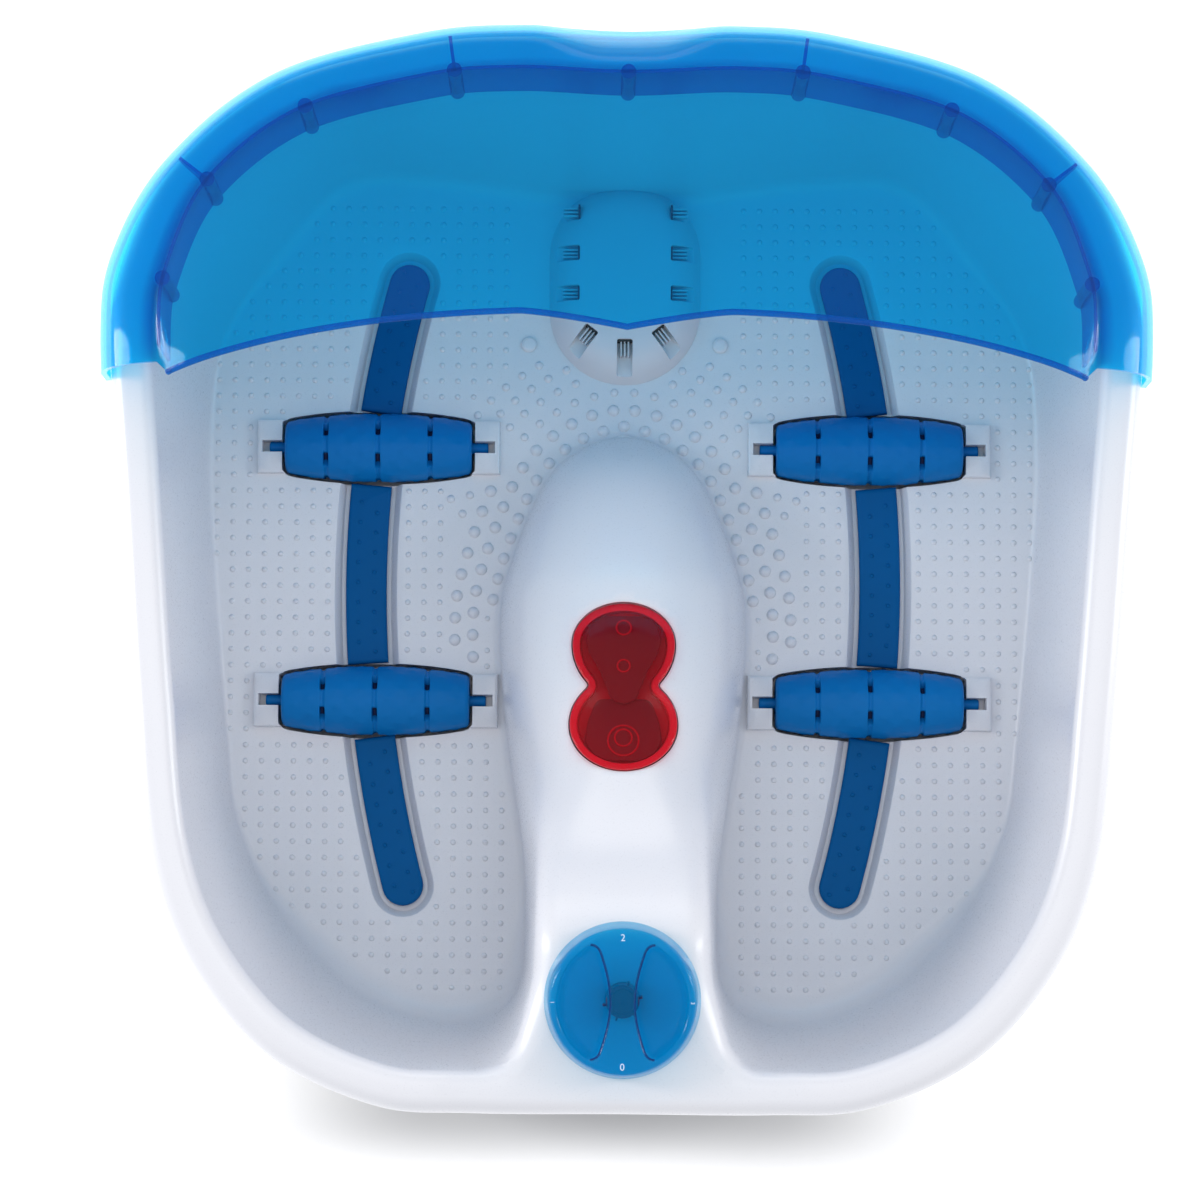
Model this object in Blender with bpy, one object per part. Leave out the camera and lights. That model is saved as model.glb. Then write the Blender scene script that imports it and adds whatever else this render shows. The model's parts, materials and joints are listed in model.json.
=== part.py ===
"""Foot spa basin, as a Blender 4.5 script.

A white moulded tub with a console running down its middle. Four massage rollers turn in pockets in the
floor, blue air strips curve between them, and a slotted cover hides the heater's wet side at the rear.
A clear blue splash guard lifts off the rear rim. A mode knob and a red lamp window sit on the console.
The base cover closes the hollow that holds the heater, vibrator, air pump, lamps and switch.

Metres, +Z up, +Y towards the rear, +X to the right. The origin is on the ground under the middle.
"""
import math

import bmesh
import bpy
from mathutils import Matrix, Vector

MM = 0.001
GAP = 0.3 * MM  # between pieces that touch on the real object

# Heights of the tub
SKIRT_BOTTOM_Z = 5 * MM
COVER_BOTTOM_Z = 6 * MM
COVER_TOP_Z = 9 * MM
FLOOR_Z = 42 * MM
FLOOR_THICKNESS = 3 * MM
RIM_Z = 160 * MM
WALL = 3 * MM

# Plan of the tub: right half, from the middle of the front to the middle of the rear
RIM_PLAN = [
    (0, -186.5), (50, -186.5), (84, -184), (121, -166.5), (148, -135), (162, -98), (168, -46),
    (173.5, 22), (177.5, 76), (174.2, 104), (158, 139), (122, 168.5), (72, 183), (38, 186.2), (0, 184.8),
]
FLOOR_PLAN = [
    (0, -157), (60, -157), (94, -147), (124, -118), (141, -84), (146, -50), (151, 4), (154, 54),
    (150, 95), (131, 127), (104, 156), (70, 158), (30, 153), (0, 152),
]
RIM_WIDTH = 14.5 * MM
SKIRT_DRAFT = 8 * MM  # how far the skirt leans in at its foot
PLAN_STEPS = 48

# Console down the middle: half width at the floor, and height of its ridge, along Y
CONSOLE_WIDTH = [
    (60, 3), (57, 13), (47, 26), (30, 35), (6, 43), (-10, 45), (-35, 44), (-56, 41.5), (-81, 37.5),
    (-103, 35), (-140, 35), (-153, 38), (-163, 46), (-172, 58),
]
CONSOLE_RIDGE = [
    (60, 46), (57, 56), (47, 71), (30, 85), (6, 99), (-7, 104), (-69, 127), (-94, 138), (-110, 150),
    (-118, 158), (-126, 161.2), (-172, 157.6), (-180, 157),
]

# Knob seat on the console
KNOB_CENTRE = Vector((0, -148 * MM, 159.5 * MM))
KNOB_TILT = math.radians(5)  # leans towards the front
KNOB_RADIUS = 26.5 * MM
KNOB_TOP_RADIUS = 24.5 * MM
KNOB_HEIGHT = 13 * MM
SHAFT_RADIUS = 3 * MM

# Lamp window: a figure of eight on the console's slope
LENS_REAR_Y = -24.2 * MM
LENS_FRONT_Y = -52.4 * MM
LENS_REAR_RADIUS = 17.6 * MM
LENS_FRONT_RADIUS = 18.6 * MM
LENS_WAIST = 11.4 * MM
LENS_DEPTH = 13 * MM
LENS_WALL = 2.6 * MM

# Rollers and their pockets
ROLLER_X = 90.8 * MM
ROLLER_ROWS = {"rear": 56 * MM, "front": -38 * MM}
ROLLER_AXIS_Z = 41 * MM
ROLLER_HALF_LENGTH = 34.5 * MM
ROLLER_MID_RADIUS = 12.6 * MM
ROLLER_END_RADIUS = 9.4 * MM
STUB_RADIUS = 2 * MM
STUB_LENGTH = 6 * MM
POCKET_CLEARANCE = 1.2 * MM
POCKET_BOTTOM_Z = ROLLER_AXIS_Z - ROLLER_MID_RADIUS - POCKET_CLEARANCE
POCKET_REACH = ROLLER_HALF_LENGTH + POCKET_CLEARANCE
BEARING_LENGTH = 9 * MM
BEARING_WIDTH = 19.5 * MM
BEARING_TOP_Z = 45.5 * MM
SLOT_WIDTH = 4.4 * MM

# Air strips: arcs that bulge outwards
STRIP_BULGE_X = 95 * MM
STRIP_MIDDLE_Y = 6 * MM
STRIP_BEND_RADIUS = 430 * MM
STRIP_HALF_SPAN = 119.5 * MM
STRIP_WIDTH = 15 * MM
STRIP_TOP_Z = 40.8 * MM
STRIP_BOTTOM_Z = 37.8 * MM
CHANNEL_WIDTH = 24 * MM
CHANNEL_FLOOR_WIDTH = 18 * MM
CHANNEL_FLOOR_Z = 37.5 * MM
TROUGH_LOW_Y = STRIP_MIDDLE_Y - STRIP_HALF_SPAN - (CHANNEL_WIDTH - STRIP_WIDTH) / 2
TROUGH_HIGH_Y = STRIP_MIDDLE_Y + STRIP_HALF_SPAN + (CHANNEL_WIDTH - STRIP_WIDTH) / 2
STRIP_TO_ROLLER = 14.4 * MM  # from a roller's axis to the cut end of a strip
STRIP_STRETCHES = {  # low y, high y, and which ends are round
    "rear": (ROLLER_ROWS["rear"] + STRIP_TO_ROLLER, STRIP_MIDDLE_Y + STRIP_HALF_SPAN, False, True),
    "middle": (ROLLER_ROWS["front"] + STRIP_TO_ROLLER, ROLLER_ROWS["rear"] - STRIP_TO_ROLLER, False, False),
    "front": (STRIP_MIDDLE_Y - STRIP_HALF_SPAN, ROLLER_ROWS["front"] - STRIP_TO_ROLLER, True, False),
}
AIRWAY_WIDTH = 8 * MM
AIRWAY_FLOOR_Z = 35.5 * MM

# Slotted heater cover on the floor
HEATER_Y = 114 * MM
HEATER_HALF_LENGTH = 34 * MM
HEATER_HALF_WIDTH = 28 * MM

# Splash guard
GUARD_THICKNESS = 2 * MM
GUARD_END_Y = 63 * MM
GUARD_EDGE_Y = 81.5 * MM
GUARD_POINT_DROP = 5.8 * MM
GUARD_END_DROP = 21 * MM
GUARD_RIB_INSET = 19.6 * MM
GUARD_RIB_BOTTOM_Z = 150 * MM
GUARD_BAND_Z = 185.5 * MM
GUARD_RISE = 10 * MM
POST_RADIUS = 2 * MM

# Things underneath
FOOT_RADIUS = 11 * MM
FOOT_PLACES = {
    "front_left": (-98, -128), "front_right": (98, -128), "rear_left": (-122, 118), "rear_right": (122, 118),
}
SCREW_PLACES = [(-60, -158), (60, -158), (-140, 10), (140, 10), (-70, 158), (70, 158)]
MOTOR_CENTRE = Vector((-72 * MM, -92 * MM, 21.5 * MM))
MOTOR_RADIUS = 10.5 * MM
MOTOR_LENGTH = 34 * MM
MOTOR_SHAFT_RADIUS = 1 * MM
PUMP_CENTRE = Vector((74 * MM, -94 * MM, 20.5 * MM))
PUMP_SIZE = Vector((50 * MM, 44 * MM, 22 * MM))


def clear_scene():
    for item in list(bpy.data.objects):
        bpy.data.objects.remove(item, do_unlink=True)


def make_material(name, colour, roughness, metallic=0.0):
    material = bpy.data.materials.new(name)
    material.use_nodes = True
    shader = material.node_tree.nodes["Principled BSDF"]
    shader.inputs["Base Color"].default_value = (*colour, 1.0)
    shader.inputs["Roughness"].default_value = roughness
    shader.inputs["Metallic"].default_value = metallic
    material.diffuse_color = (*colour, 1.0)
    return material


def add_object(name, vertices, faces, material=None):
    mesh = bpy.data.meshes.new(name)
    mesh.from_pydata([tuple(v) for v in vertices], [], faces)
    mesh.validate()
    built = bmesh.new()
    built.from_mesh(mesh)
    bmesh.ops.recalc_face_normals(built, faces=built.faces)
    built.to_mesh(mesh)
    built.free()
    item = bpy.data.objects.new(name, mesh)
    bpy.context.scene.collection.objects.link(item)
    if material:
        mesh.materials.append(material)
    return item


def smooth(item, degrees=35):
    item.data.shade_smooth()
    item.data.set_sharp_from_angle(angle=math.radians(degrees))
    return item


def loft(name, rings, material=None):
    """A solid through rings of points, each ring closed and with the same number of points."""
    count = len(rings[0])
    vertices = [point for ring in rings for point in ring]
    faces = []
    for level in range(len(rings) - 1):
        for i in range(count):
            j = (i + 1) % count
            low, high = level * count, (level + 1) * count
            faces.append((low + i, low + j, high + j, high + i))
    faces.append(tuple(range(count)))
    faces.append(tuple(range((len(rings) - 1) * count, len(rings) * count)))
    return add_object(name, vertices, faces, material)


def turned(name, profile, material=None, steps=32, about="Z"):
    """A closed profile of (radius, height) points, spun about an axis through the origin."""
    turns = []
    for k in range(steps):
        angle = 2 * math.pi * k / steps
        turns.append((math.cos(angle), math.sin(angle)))
    vertices, rows = [], []
    for radius, height in profile:
        if radius < 1e-9:
            rows.append([len(vertices)])
            vertices.append(along_axis(0, 0, height, about))
        else:
            rows.append(list(range(len(vertices), len(vertices) + steps)))
            vertices += [along_axis(radius * c, radius * s, height, about) for c, s in turns]
    faces = []
    closed = profile[0][0] > 1e-9 or profile[-1][0] > 1e-9
    pairs = len(profile) if closed else len(profile) - 1
    for a in range(pairs):
        first, second = rows[a], rows[(a + 1) % len(profile)]
        for k in range(steps):
            n = (k + 1) % steps
            if len(first) == 1:
                faces.append((first[0], second[n], second[k]))
            elif len(second) == 1:
                faces.append((first[k], first[n], second[0]))
            else:
                faces.append((first[k], first[n], second[n], second[k]))
    return smooth(add_object(name, vertices, faces, material))


def along_axis(u, v, w, about):
    if about == "X":
        return (w, u, v)
    return (u, v, w)


def box(name, low, high, material=None):
    x0, y0, z0 = low
    x1, y1, z1 = high
    ring = [(x0, y0), (x1, y0), (x1, y1), (x0, y1)]
    return loft(name, [[(x, y, z) for x, y in ring] for z in (z0, z1)], material)


def cylinder(name, centre, radius, low_z, high_z, material=None, steps=24):
    rings = []
    for z in (low_z, high_z):
        turn = [2 * math.pi * (k + 0.3) / steps for k in range(steps)]
        rings.append([(centre[0] + radius * math.cos(t), centre[1] + radius * math.sin(t), z) for t in turn])
    return smooth(loft(name, rings, material))


def combine(item, other, operation):
    """Boolean of two objects, keeping the first and removing the second."""
    change = item.modifiers.new("shape", "BOOLEAN")
    change.operation = operation
    change.solver = "EXACT"
    change.object = other
    bpy.context.view_layer.objects.active = item
    with bpy.context.temp_override(object=item, active_object=item):
        bpy.ops.object.modifier_apply(modifier=change.name)
    bpy.data.objects.remove(other, do_unlink=True)
    return item


def cut(item, *others):
    for other in others:
        combine(item, other, "DIFFERENCE")
    return item


def join(item, *others):
    for other in others:
        combine(item, other, "UNION")
    return item


def tidy_mesh(item):
    """Merges the specks and slivers that Booleans leave."""
    work = bmesh.new()
    work.from_mesh(item.data)
    bmesh.ops.remove_doubles(work, verts=work.verts, dist=0.02 * MM)
    bmesh.ops.dissolve_degenerate(work, edges=work.edges, dist=0.01 * MM)
    work.to_mesh(item.data)
    work.free()
    return item


# ---------------------------------------------------------------- plan curves

def through(points, position):
    """Catmull-Rom curve through points, at a position counted in points."""
    last = len(points) - 1
    k = min(int(position), last - 1)
    t = position - k
    p0 = points[max(k - 1, 0)]
    p1, p2 = points[k], points[k + 1]
    p3 = points[min(k + 2, last)]
    blend = []
    for a, b, c, d in zip(p0, p1, p2, p3):
        blend.append(0.5 * (2 * b + (c - a) * t + (2 * a - 5 * b + 4 * c - d) * t * t
                            + (3 * b - a - 3 * c + d) * t ** 3))
    return blend


class Plan:
    """A closed outline, mirrored left to right, as a distance from the middle in each direction."""

    def __init__(self, half):
        left = [(-x, y) for x, y in half[-2:0:-1]]
        around = half + left
        padded = around[-3:] + around + around[:4]
        self.angles, self.radii = [], []
        count = len(around)
        for step in range(count * 24 + 1):
            x, y = through(padded, 3 + step / 24)
            angle = math.atan2(x, -y) % (2 * math.pi)
            if step == count * 24:
                angle += 2 * math.pi
            self.angles.append(angle)
            self.radii.append(math.hypot(x, y) * MM)

    def radius(self, angle):
        angle %= 2 * math.pi
        low, high = 0, len(self.angles) - 1
        while high - low > 1:
            middle = (low + high) // 2
            if self.angles[middle] <= angle:
                low = middle
            else:
                high = middle
        span = self.angles[high] - self.angles[low]
        share = (angle - self.angles[low]) / span if span else 0
        return self.radii[low] + share * (self.radii[high] - self.radii[low])

    def point(self, angle, inset=0.0):
        """The point in a direction, counted from the front towards the right, moved in square to the
        outline."""
        step = 0.01
        radius = self.radius(angle)
        x, y = radius * math.sin(angle), -radius * math.cos(angle)
        before, after = self.radius(angle - step), self.radius(angle + step)
        tx = after * math.sin(angle + step) - before * math.sin(angle - step)
        ty = before * math.cos(angle - step) - after * math.cos(angle + step)
        size = math.hypot(tx, ty)
        return x - inset * ty / size, y + inset * tx / size

    def ring(self, z, inset=0.0, steps=PLAN_STEPS):
        turn = [2 * math.pi * k / steps for k in range(steps)]
        return [(*self.point(t, inset), z) for t in turn]


RIM = Plan(RIM_PLAN)
FLOOR = Plan(FLOOR_PLAN)


def table(points, y):
    """Reads a smooth curve of (y, value) points, in millimetres, listed from rear to front."""
    y_mm = y / MM
    if y_mm >= points[0][0]:
        return points[0][1] * MM
    for k in range(len(points) - 1):
        if points[k + 1][0] <= y_mm:
            t = (y_mm - points[k][0]) / (points[k + 1][0] - points[k][0])
            return through(points, k + t)[1] * MM
    return points[-1][1] * MM


def wall_rings(outset):
    """Rings of the basin's inside, from its floor to the rim, moved out by a wall thickness."""
    rings = [FLOOR.ring(FLOOR_Z - outset, inset=5 * MM - outset)]
    rings.append(FLOOR.ring(FLOOR_Z - outset + 1.6 * MM, inset=1.6 * MM - outset))
    low = FLOOR.ring(FLOOR_Z + 7 * MM, inset=-1.2 * MM - outset)
    high = RIM.ring(RIM_Z - 6 * MM, inset=RIM_WIDTH + 0.5 * MM - outset)
    return rings + [low, high]


def console_sections(inset, ends, floor_z):
    """Arches across the console, from the rear to the front, as closed rings."""
    steps = 10
    first, last = ends
    count = 16
    rings = []
    for k in range(count + 1):
        y = first + (last - first) * (1 - math.cos(math.pi * k / count / 2)) ** 0.9
        half = table(CONSOLE_WIDTH, y) - inset
        rise = table(CONSOLE_RIDGE, y) - inset - FLOOR_Z
        fullness = 2.4 + 3.6 * smooth_step(-60 * MM, -125 * MM, y)
        arch = []
        for j in range(steps + 1):
            turn = math.pi * j / steps
            c, s = math.cos(turn), math.sin(turn)
            x = math.copysign(abs(c) ** (2 / fullness), c) * half
            z = FLOOR_Z + rise * s ** (2 / fullness)
            arch.append((x, y, z))
        rings.append(arch + [(-half, y, floor_z), (half, y, floor_z)])
    return rings


def smooth_step(start, end, value):
    t = min(max((value - start) / (end - start), 0.0), 1.0)
    return t * t * (3 - 2 * t)


# ---------------------------------------------------------------- strips and rollers in plan

def strip_point(side, y, offset=0.0):
    """A point beside the middle line of an air strip; offset is measured away from the console."""
    turn = math.asin((y - STRIP_MIDDLE_Y) / STRIP_BEND_RADIUS)
    radius = STRIP_BEND_RADIUS + offset
    x = STRIP_BULGE_X - STRIP_BEND_RADIUS + radius * math.cos(turn)
    return side * x, STRIP_MIDDLE_Y + radius * math.sin(turn)


def strip_outline(side, y_low, y_high, width, round_low, round_high, steps=8):
    """Outline of a stretch of strip. A round end is a half circle, and its y is at the circle's tip."""
    half = width / 2
    start = y_low + (half if round_low else 0)
    stop = y_high - (half if round_high else 0)
    ys = [start + (stop - start) * k / steps for k in range(steps + 1)]
    outer = [strip_point(side, y, half) for y in ys]
    inner = [strip_point(side, y, -half) for y in reversed(ys)]
    tip_high = half_circle(outer[-1], inner[0]) if round_high else []
    tip_low = half_circle(inner[-1], outer[0]) if round_low else []
    return outer + tip_high + inner + tip_low


def half_circle(start, end, steps=6):
    """Points between start and end on the half circle that joins them, turning away from the strip."""
    cx, cy = (start[0] + end[0]) / 2, (start[1] + end[1]) / 2
    ux, uy = start[0] - cx, start[1] - cy
    vx, vy = -uy, ux
    outward = 1 if (vy > 0) == (cy > STRIP_MIDDLE_Y) else -1
    points = []
    for k in range(1, steps):
        t = math.pi * k / steps
        c, s = math.cos(t), math.sin(t) * outward
        points.append((cx + ux * c + vx * s, cy + uy * c + vy * s))
    return points


def prism(name, outline, low_z, high_z, material=None, top_outline=None):
    top = top_outline or outline
    rings = [[(x, y, low_z) for x, y in outline], [(x, y, high_z) for x, y in top]]
    return loft(name, rings, material)


def barrel_radius(x):
    share = abs(x) / ROLLER_HALF_LENGTH
    return ROLLER_MID_RADIUS - (ROLLER_MID_RADIUS - ROLLER_END_RADIUS) * share ** 2.2


def pocket_outline(x_middle, y_middle, extra):
    steps = 6
    length = ROLLER_HALF_LENGTH + extra
    xs = [-length + 2 * length * k / steps for k in range(steps + 1)]
    upper = [(x_middle + x, y_middle + barrel_radius(x) + extra) for x in xs]
    lower = [(x_middle + x, y_middle - barrel_radius(x) - extra) for x in reversed(xs)]
    return upper + lower


# ---------------------------------------------------------------- the tub

def make_tub(material):
    outside = [RIM.ring(SKIRT_BOTTOM_Z, SKIRT_DRAFT), RIM.ring(RIM_Z - 6 * MM)]
    outside.append(RIM.ring(RIM_Z - 2.4 * MM, 1.0 * MM))
    outside.append(RIM.ring(RIM_Z, 5.5 * MM))
    tub = loft("tub_shell", outside, material)

    basin = wall_rings(0)
    basin.append(RIM.ring(RIM_Z - 1.5 * MM, RIM_WIDTH - 3 * MM))
    basin.append(RIM.ring(RIM_Z + 0.2 * MM, RIM_WIDTH - 5.5 * MM))
    basin.append(RIM.ring(RIM_Z + 12 * MM, RIM_WIDTH - 5.5 * MM))
    basin = loft("basin_space", basin)
    console = loft("console", console_sections(0, (60 * MM, -180 * MM), FLOOR_Z - 12 * MM))
    cut(basin, console)
    cut(tub, basin)

    inside = [RIM.ring(SKIRT_BOTTOM_Z - 6 * MM, SKIRT_DRAFT + WALL), RIM.ring(RIM_Z - 9 * MM, WALL)]
    inside.append(RIM.ring(RIM_Z - 5 * MM, 5.6 * MM))
    hollow = loft("hollow", inside)
    block = wall_rings(WALL)
    block.append(RIM.ring(RIM_Z + 10 * MM, RIM_WIDTH - WALL))
    block = loft("basin_block", block)
    console_inside = loft("console_inside", console_sections(WALL, (57 * MM, -182 * MM), FLOOR_Z - 14 * MM))
    cut(block, console_inside)
    cut(hollow, block)
    cut(tub, hollow)
    return tub


def pocket_places():
    return [(side * ROLLER_X, y) for side in (-1, 1) for y in ROLLER_ROWS.values()]


def thicken_floor(tub):
    """Material under the floor for the pockets and troughs, and the bearing blocks that stand on it."""
    wall = POCKET_CLEARANCE + 2.2 * MM
    for x, y in pocket_places():
        outline = pocket_outline(x, y, wall)
        join(tub, prism("pocket_boss", outline, POCKET_BOTTOM_Z - 2.2 * MM, FLOOR_Z - 0.7 * MM))
        for end in (-1, 1):
            near = x + end * (POCKET_REACH - 0.5 * MM)
            far = x + end * (POCKET_REACH + BEARING_LENGTH)
            low = (min(near, far), y - BEARING_WIDTH / 2, FLOOR_Z - 6 * MM)
            high = (max(near, far), y + BEARING_WIDTH / 2, BEARING_TOP_Z)
            join(tub, box("bearing", low, high))
    for side in (-1, 1):
        low, high = TROUGH_LOW_Y - 2 * MM, TROUGH_HIGH_Y + 2 * MM
        outline = strip_outline(side, low, high, CHANNEL_WIDTH + 4 * MM, True, True)
        join(tub, prism("trough_boss", outline, AIRWAY_FLOOR_Z - 2 * MM, FLOOR_Z - 0.5 * MM))


def cut_pockets(tub):
    for x, y in pocket_places():
        outline = pocket_outline(x, y, POCKET_CLEARANCE)
        cut(tub, prism("pocket", outline, POCKET_BOTTOM_Z, BEARING_TOP_Z + 5 * MM))
        slot = POCKET_REACH + BEARING_LENGTH - 1.6 * MM
        low = (x - slot, y - SLOT_WIDTH / 2, ROLLER_AXIS_Z - SLOT_WIDTH / 2)
        high = (x + slot, y + SLOT_WIDTH / 2, BEARING_TOP_Z + 5 * MM)
        cut(tub, box("slot", low, high))


def cut_troughs(tub):
    """A sloping-sided trough for each strip, and an airway with an inlet under each stretch of it."""
    slope = (CHANNEL_WIDTH - CHANNEL_FLOOR_WIDTH) / 2
    for side in (-1, 1):
        low, high = TROUGH_LOW_Y + slope, TROUGH_HIGH_Y - slope
        bottom = strip_outline(side, low, high, CHANNEL_FLOOR_WIDTH, True, True)
        top = strip_outline(side, TROUGH_LOW_Y, TROUGH_HIGH_Y, CHANNEL_WIDTH, True, True)
        cut(tub, prism("trough", bottom, CHANNEL_FLOOR_Z, FLOOR_Z + 0.01 * MM, top_outline=top))
        for low, high, _, _ in STRIP_STRETCHES.values():
            airway = strip_outline(side, low + 6 * MM, high - 6 * MM, AIRWAY_WIDTH, True, True, steps=4)
            cut(tub, prism("airway", airway, AIRWAY_FLOOR_Z, CHANNEL_FLOOR_Z + 1 * MM))
            x, y = strip_point(side, (low + high) / 2)
            cut(tub, cylinder("inlet", (x, y), 1.8 * MM, AIRWAY_FLOOR_Z - 4 * MM, CHANNEL_FLOOR_Z, steps=8))


def make_strips(material):
    for side, hand in ((-1, "left"), (1, "right")):
        for name, (low, high, round_low, round_high) in STRIP_STRETCHES.items():
            outline = strip_outline(side, low, high, STRIP_WIDTH, round_low, round_high)
            smooth(prism(f"air_strip_{name}_{hand}", outline, STRIP_BOTTOM_Z, STRIP_TOP_Z, material))


# ---------------------------------------------------------------- lamp window

def eight_outline(grow, steps=10):
    """Figure of eight seen from above: two circles with straight tangents to a narrower waist."""
    rear, front = LENS_REAR_RADIUS + grow, LENS_FRONT_RADIUS + grow
    waist = LENS_WAIST + grow
    middle = (LENS_REAR_Y + LENS_FRONT_Y) / 2
    open_rear = math.acos(min(1, waist / rear)) * 0.82
    open_front = math.acos(min(1, waist / front)) * 0.82
    points = []
    for k in range(steps + 1):
        t = -open_rear + (math.pi + 2 * open_rear) * k / steps
        points.append((rear * math.cos(t), LENS_REAR_Y + rear * math.sin(t)))
    points.append((-waist, middle))
    for k in range(steps + 1):
        t = math.pi - open_front + (math.pi + 2 * open_front) * k / steps
        points.append((front * math.cos(t), LENS_FRONT_Y + front * math.sin(t)))
    points.append((waist, middle))
    return points


def on_slope(outline, depth):
    """Lifts an outline to the console's slope at the lamps, sunk by depth."""
    rear_y, front_y = -7 * MM, -69 * MM
    rear_z, front_z = table(CONSOLE_RIDGE, rear_y), table(CONSOLE_RIDGE, front_y)
    slope = (front_z - rear_z) / (front_y - rear_y)
    return [(x, y, rear_z + slope * (y - rear_y) - depth) for x, y in outline]


def cut_lens_opening(tub):
    outline = eight_outline(GAP)
    cut(tub, loft("lens_opening", [on_slope(outline, LENS_DEPTH + 5 * MM), on_slope(outline, -6 * MM)]))


def make_lens(material):
    outline = eight_outline(0)
    lens = loft("ir_lens", [on_slope(outline, LENS_DEPTH), on_slope(outline, 1.0 * MM)], material)
    inner = eight_outline(-LENS_WALL)
    cut(lens, loft("lens_inside", [on_slope(inner, LENS_DEPTH + 2 * MM), on_slope(inner, 3.2 * MM)]))
    return smooth(lens)


def make_lens_seal(material):
    outer, inner = eight_outline(3.4 * MM), eight_outline(GAP)
    seal = loft("lens_seal", [on_slope(outer, LENS_DEPTH + 1.4 * MM), on_slope(outer, LENS_DEPTH)], material)
    inside = [on_slope(inner, LENS_DEPTH + 3 * MM), on_slope(inner, LENS_DEPTH - 3 * MM)]
    cut(seal, loft("seal_inside", inside))
    return smooth(seal)


def make_lamps(holder_material, glass_material):
    """Two small lamps on a bridge that stands on the base cover, inside the console."""
    top_z = 78 * MM
    half = 17 * MM
    leg = 4 * MM
    rear, front = LENS_REAR_Y + 16 * MM, LENS_FRONT_Y - 16 * MM
    holder = box("lamp_holder", (-half, front, top_z - 3 * MM), (half, rear, top_z), holder_material)
    for x0 in (-half, half - leg):
        join(holder, box("leg", (x0, front, COVER_TOP_Z + GAP), (x0 + leg, front + 8 * MM, top_z - 1 * MM)))
        join(holder, box("leg", (x0, rear - 8 * MM, COVER_TOP_Z + GAP), (x0 + leg, rear, top_z - 1 * MM)))
    for name, y in (("rear", LENS_REAR_Y), ("front", LENS_FRONT_Y)):
        base = top_z + GAP
        profile = [(0, 0), (4.5, 0), (4.5, 6), (7.2, 10), (7.2, 16), (5, 20), (0, 21.5)]
        lamp = turned(f"ir_lamp_{name}", [(r * MM, h * MM) for r, h in profile], glass_material, steps=14)
        lamp.location = (0, y, base)


# ---------------------------------------------------------------- knob and switch

def knob_parent():
    """Frame of the knob: origin on its turning axis at the seat, Z along the axis."""
    guide = bpy.data.objects.new("knob_axis", None)
    bpy.context.scene.collection.objects.link(guide)
    guide.location = KNOB_CENTRE
    guide.rotation_euler = (KNOB_TILT, 0, 0)
    return guide


def finger_recess(side):
    """A D-shaped hollow beside the ridge that the fingers turn, as a cutter."""
    outer = KNOB_TOP_RADIUS - 3.2 * MM
    steps = 12
    points = []
    for k in range(steps + 1):
        t = math.radians(-62 + 124 * k / steps)
        points.append((side * outer * math.cos(t), outer * math.sin(t)))
    top_y = points[-1][1]
    for k in range(1, steps):
        y = top_y - 2 * top_y * k / steps
        waist = 4.2 * MM + 5.6 * MM * (abs(y) / top_y) ** 1.8
        points.append((side * waist, y))
    low = KNOB_HEIGHT - 7.5 * MM
    shrunk = [(x * 0.9 + side * 1.1 * MM, y * 0.9) for x, y in points]
    rings = [[(x, y, low) for x, y in shrunk], [(x, y, KNOB_HEIGHT + 2 * MM) for x, y in points]]
    return loft("finger_recess", rings)


def make_knob(knob_material, shaft_material, switch_material, seal_material):
    guide = knob_parent()
    base = 1.0 * MM
    top = KNOB_HEIGHT
    edge = 1.5 * MM
    profile = [(0, base), (KNOB_RADIUS, base), (KNOB_RADIUS, base + 3 * MM)]
    profile += [(KNOB_TOP_RADIUS + 0.3 * MM, top - edge), (KNOB_TOP_RADIUS - edge, top), (0, top)]
    knob = turned("control_knob", profile, knob_material, steps=32)
    cut(knob, finger_recess(1), finger_recess(-1))
    cut(knob, cylinder("bore", (0, 0), SHAFT_RADIUS + GAP, -1 * MM, top - 5 * MM, steps=20))
    smooth(knob)
    shaft = cylinder("knob_shaft", (0, 0), SHAFT_RADIUS, -12 * MM, top - 5.3 * MM, shaft_material, steps=20)
    flat = box("flat", (-4 * MM, 1.8 * MM, 2 * MM), (4 * MM, 5 * MM, 12 * MM))
    cut(shaft, flat)
    low, high = (-13 * MM, -13 * MM, -20 * MM), (13 * MM, 13 * MM, -6 * MM)
    switch = box("rotary_switch", low, high, switch_material)
    collar = cylinder("collar", (0, 0), 5.2 * MM, -8 * MM, -3.6 * MM, steps=20)
    join(switch, collar)
    cut(switch, cylinder("switch_bore", (0, 0), SHAFT_RADIUS + GAP, -13 * MM, 0, steps=20))
    seal_outer, seal_inner = 5.6 * MM, SHAFT_RADIUS + GAP
    low, high = -3.3 * MM, -0.5 * MM
    ring = [(seal_inner, low), (seal_outer, low), (seal_outer, high), (seal_inner, high)]
    seal = turned("shaft_seal", ring, seal_material, steps=20)
    for item in (knob, shaft, switch, seal):
        item.parent = guide


def cut_knob_hole(tub):
    hole = cylinder("knob_hole", (0, 0), 6 * MM, -12 * MM, 14 * MM, steps=24)
    place = Matrix.Translation(KNOB_CENTRE) @ Matrix.Rotation(KNOB_TILT, 4, "X")
    hole.data.transform(place)
    cut(tub, hole)


# ---------------------------------------------------------------- rollers

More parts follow.
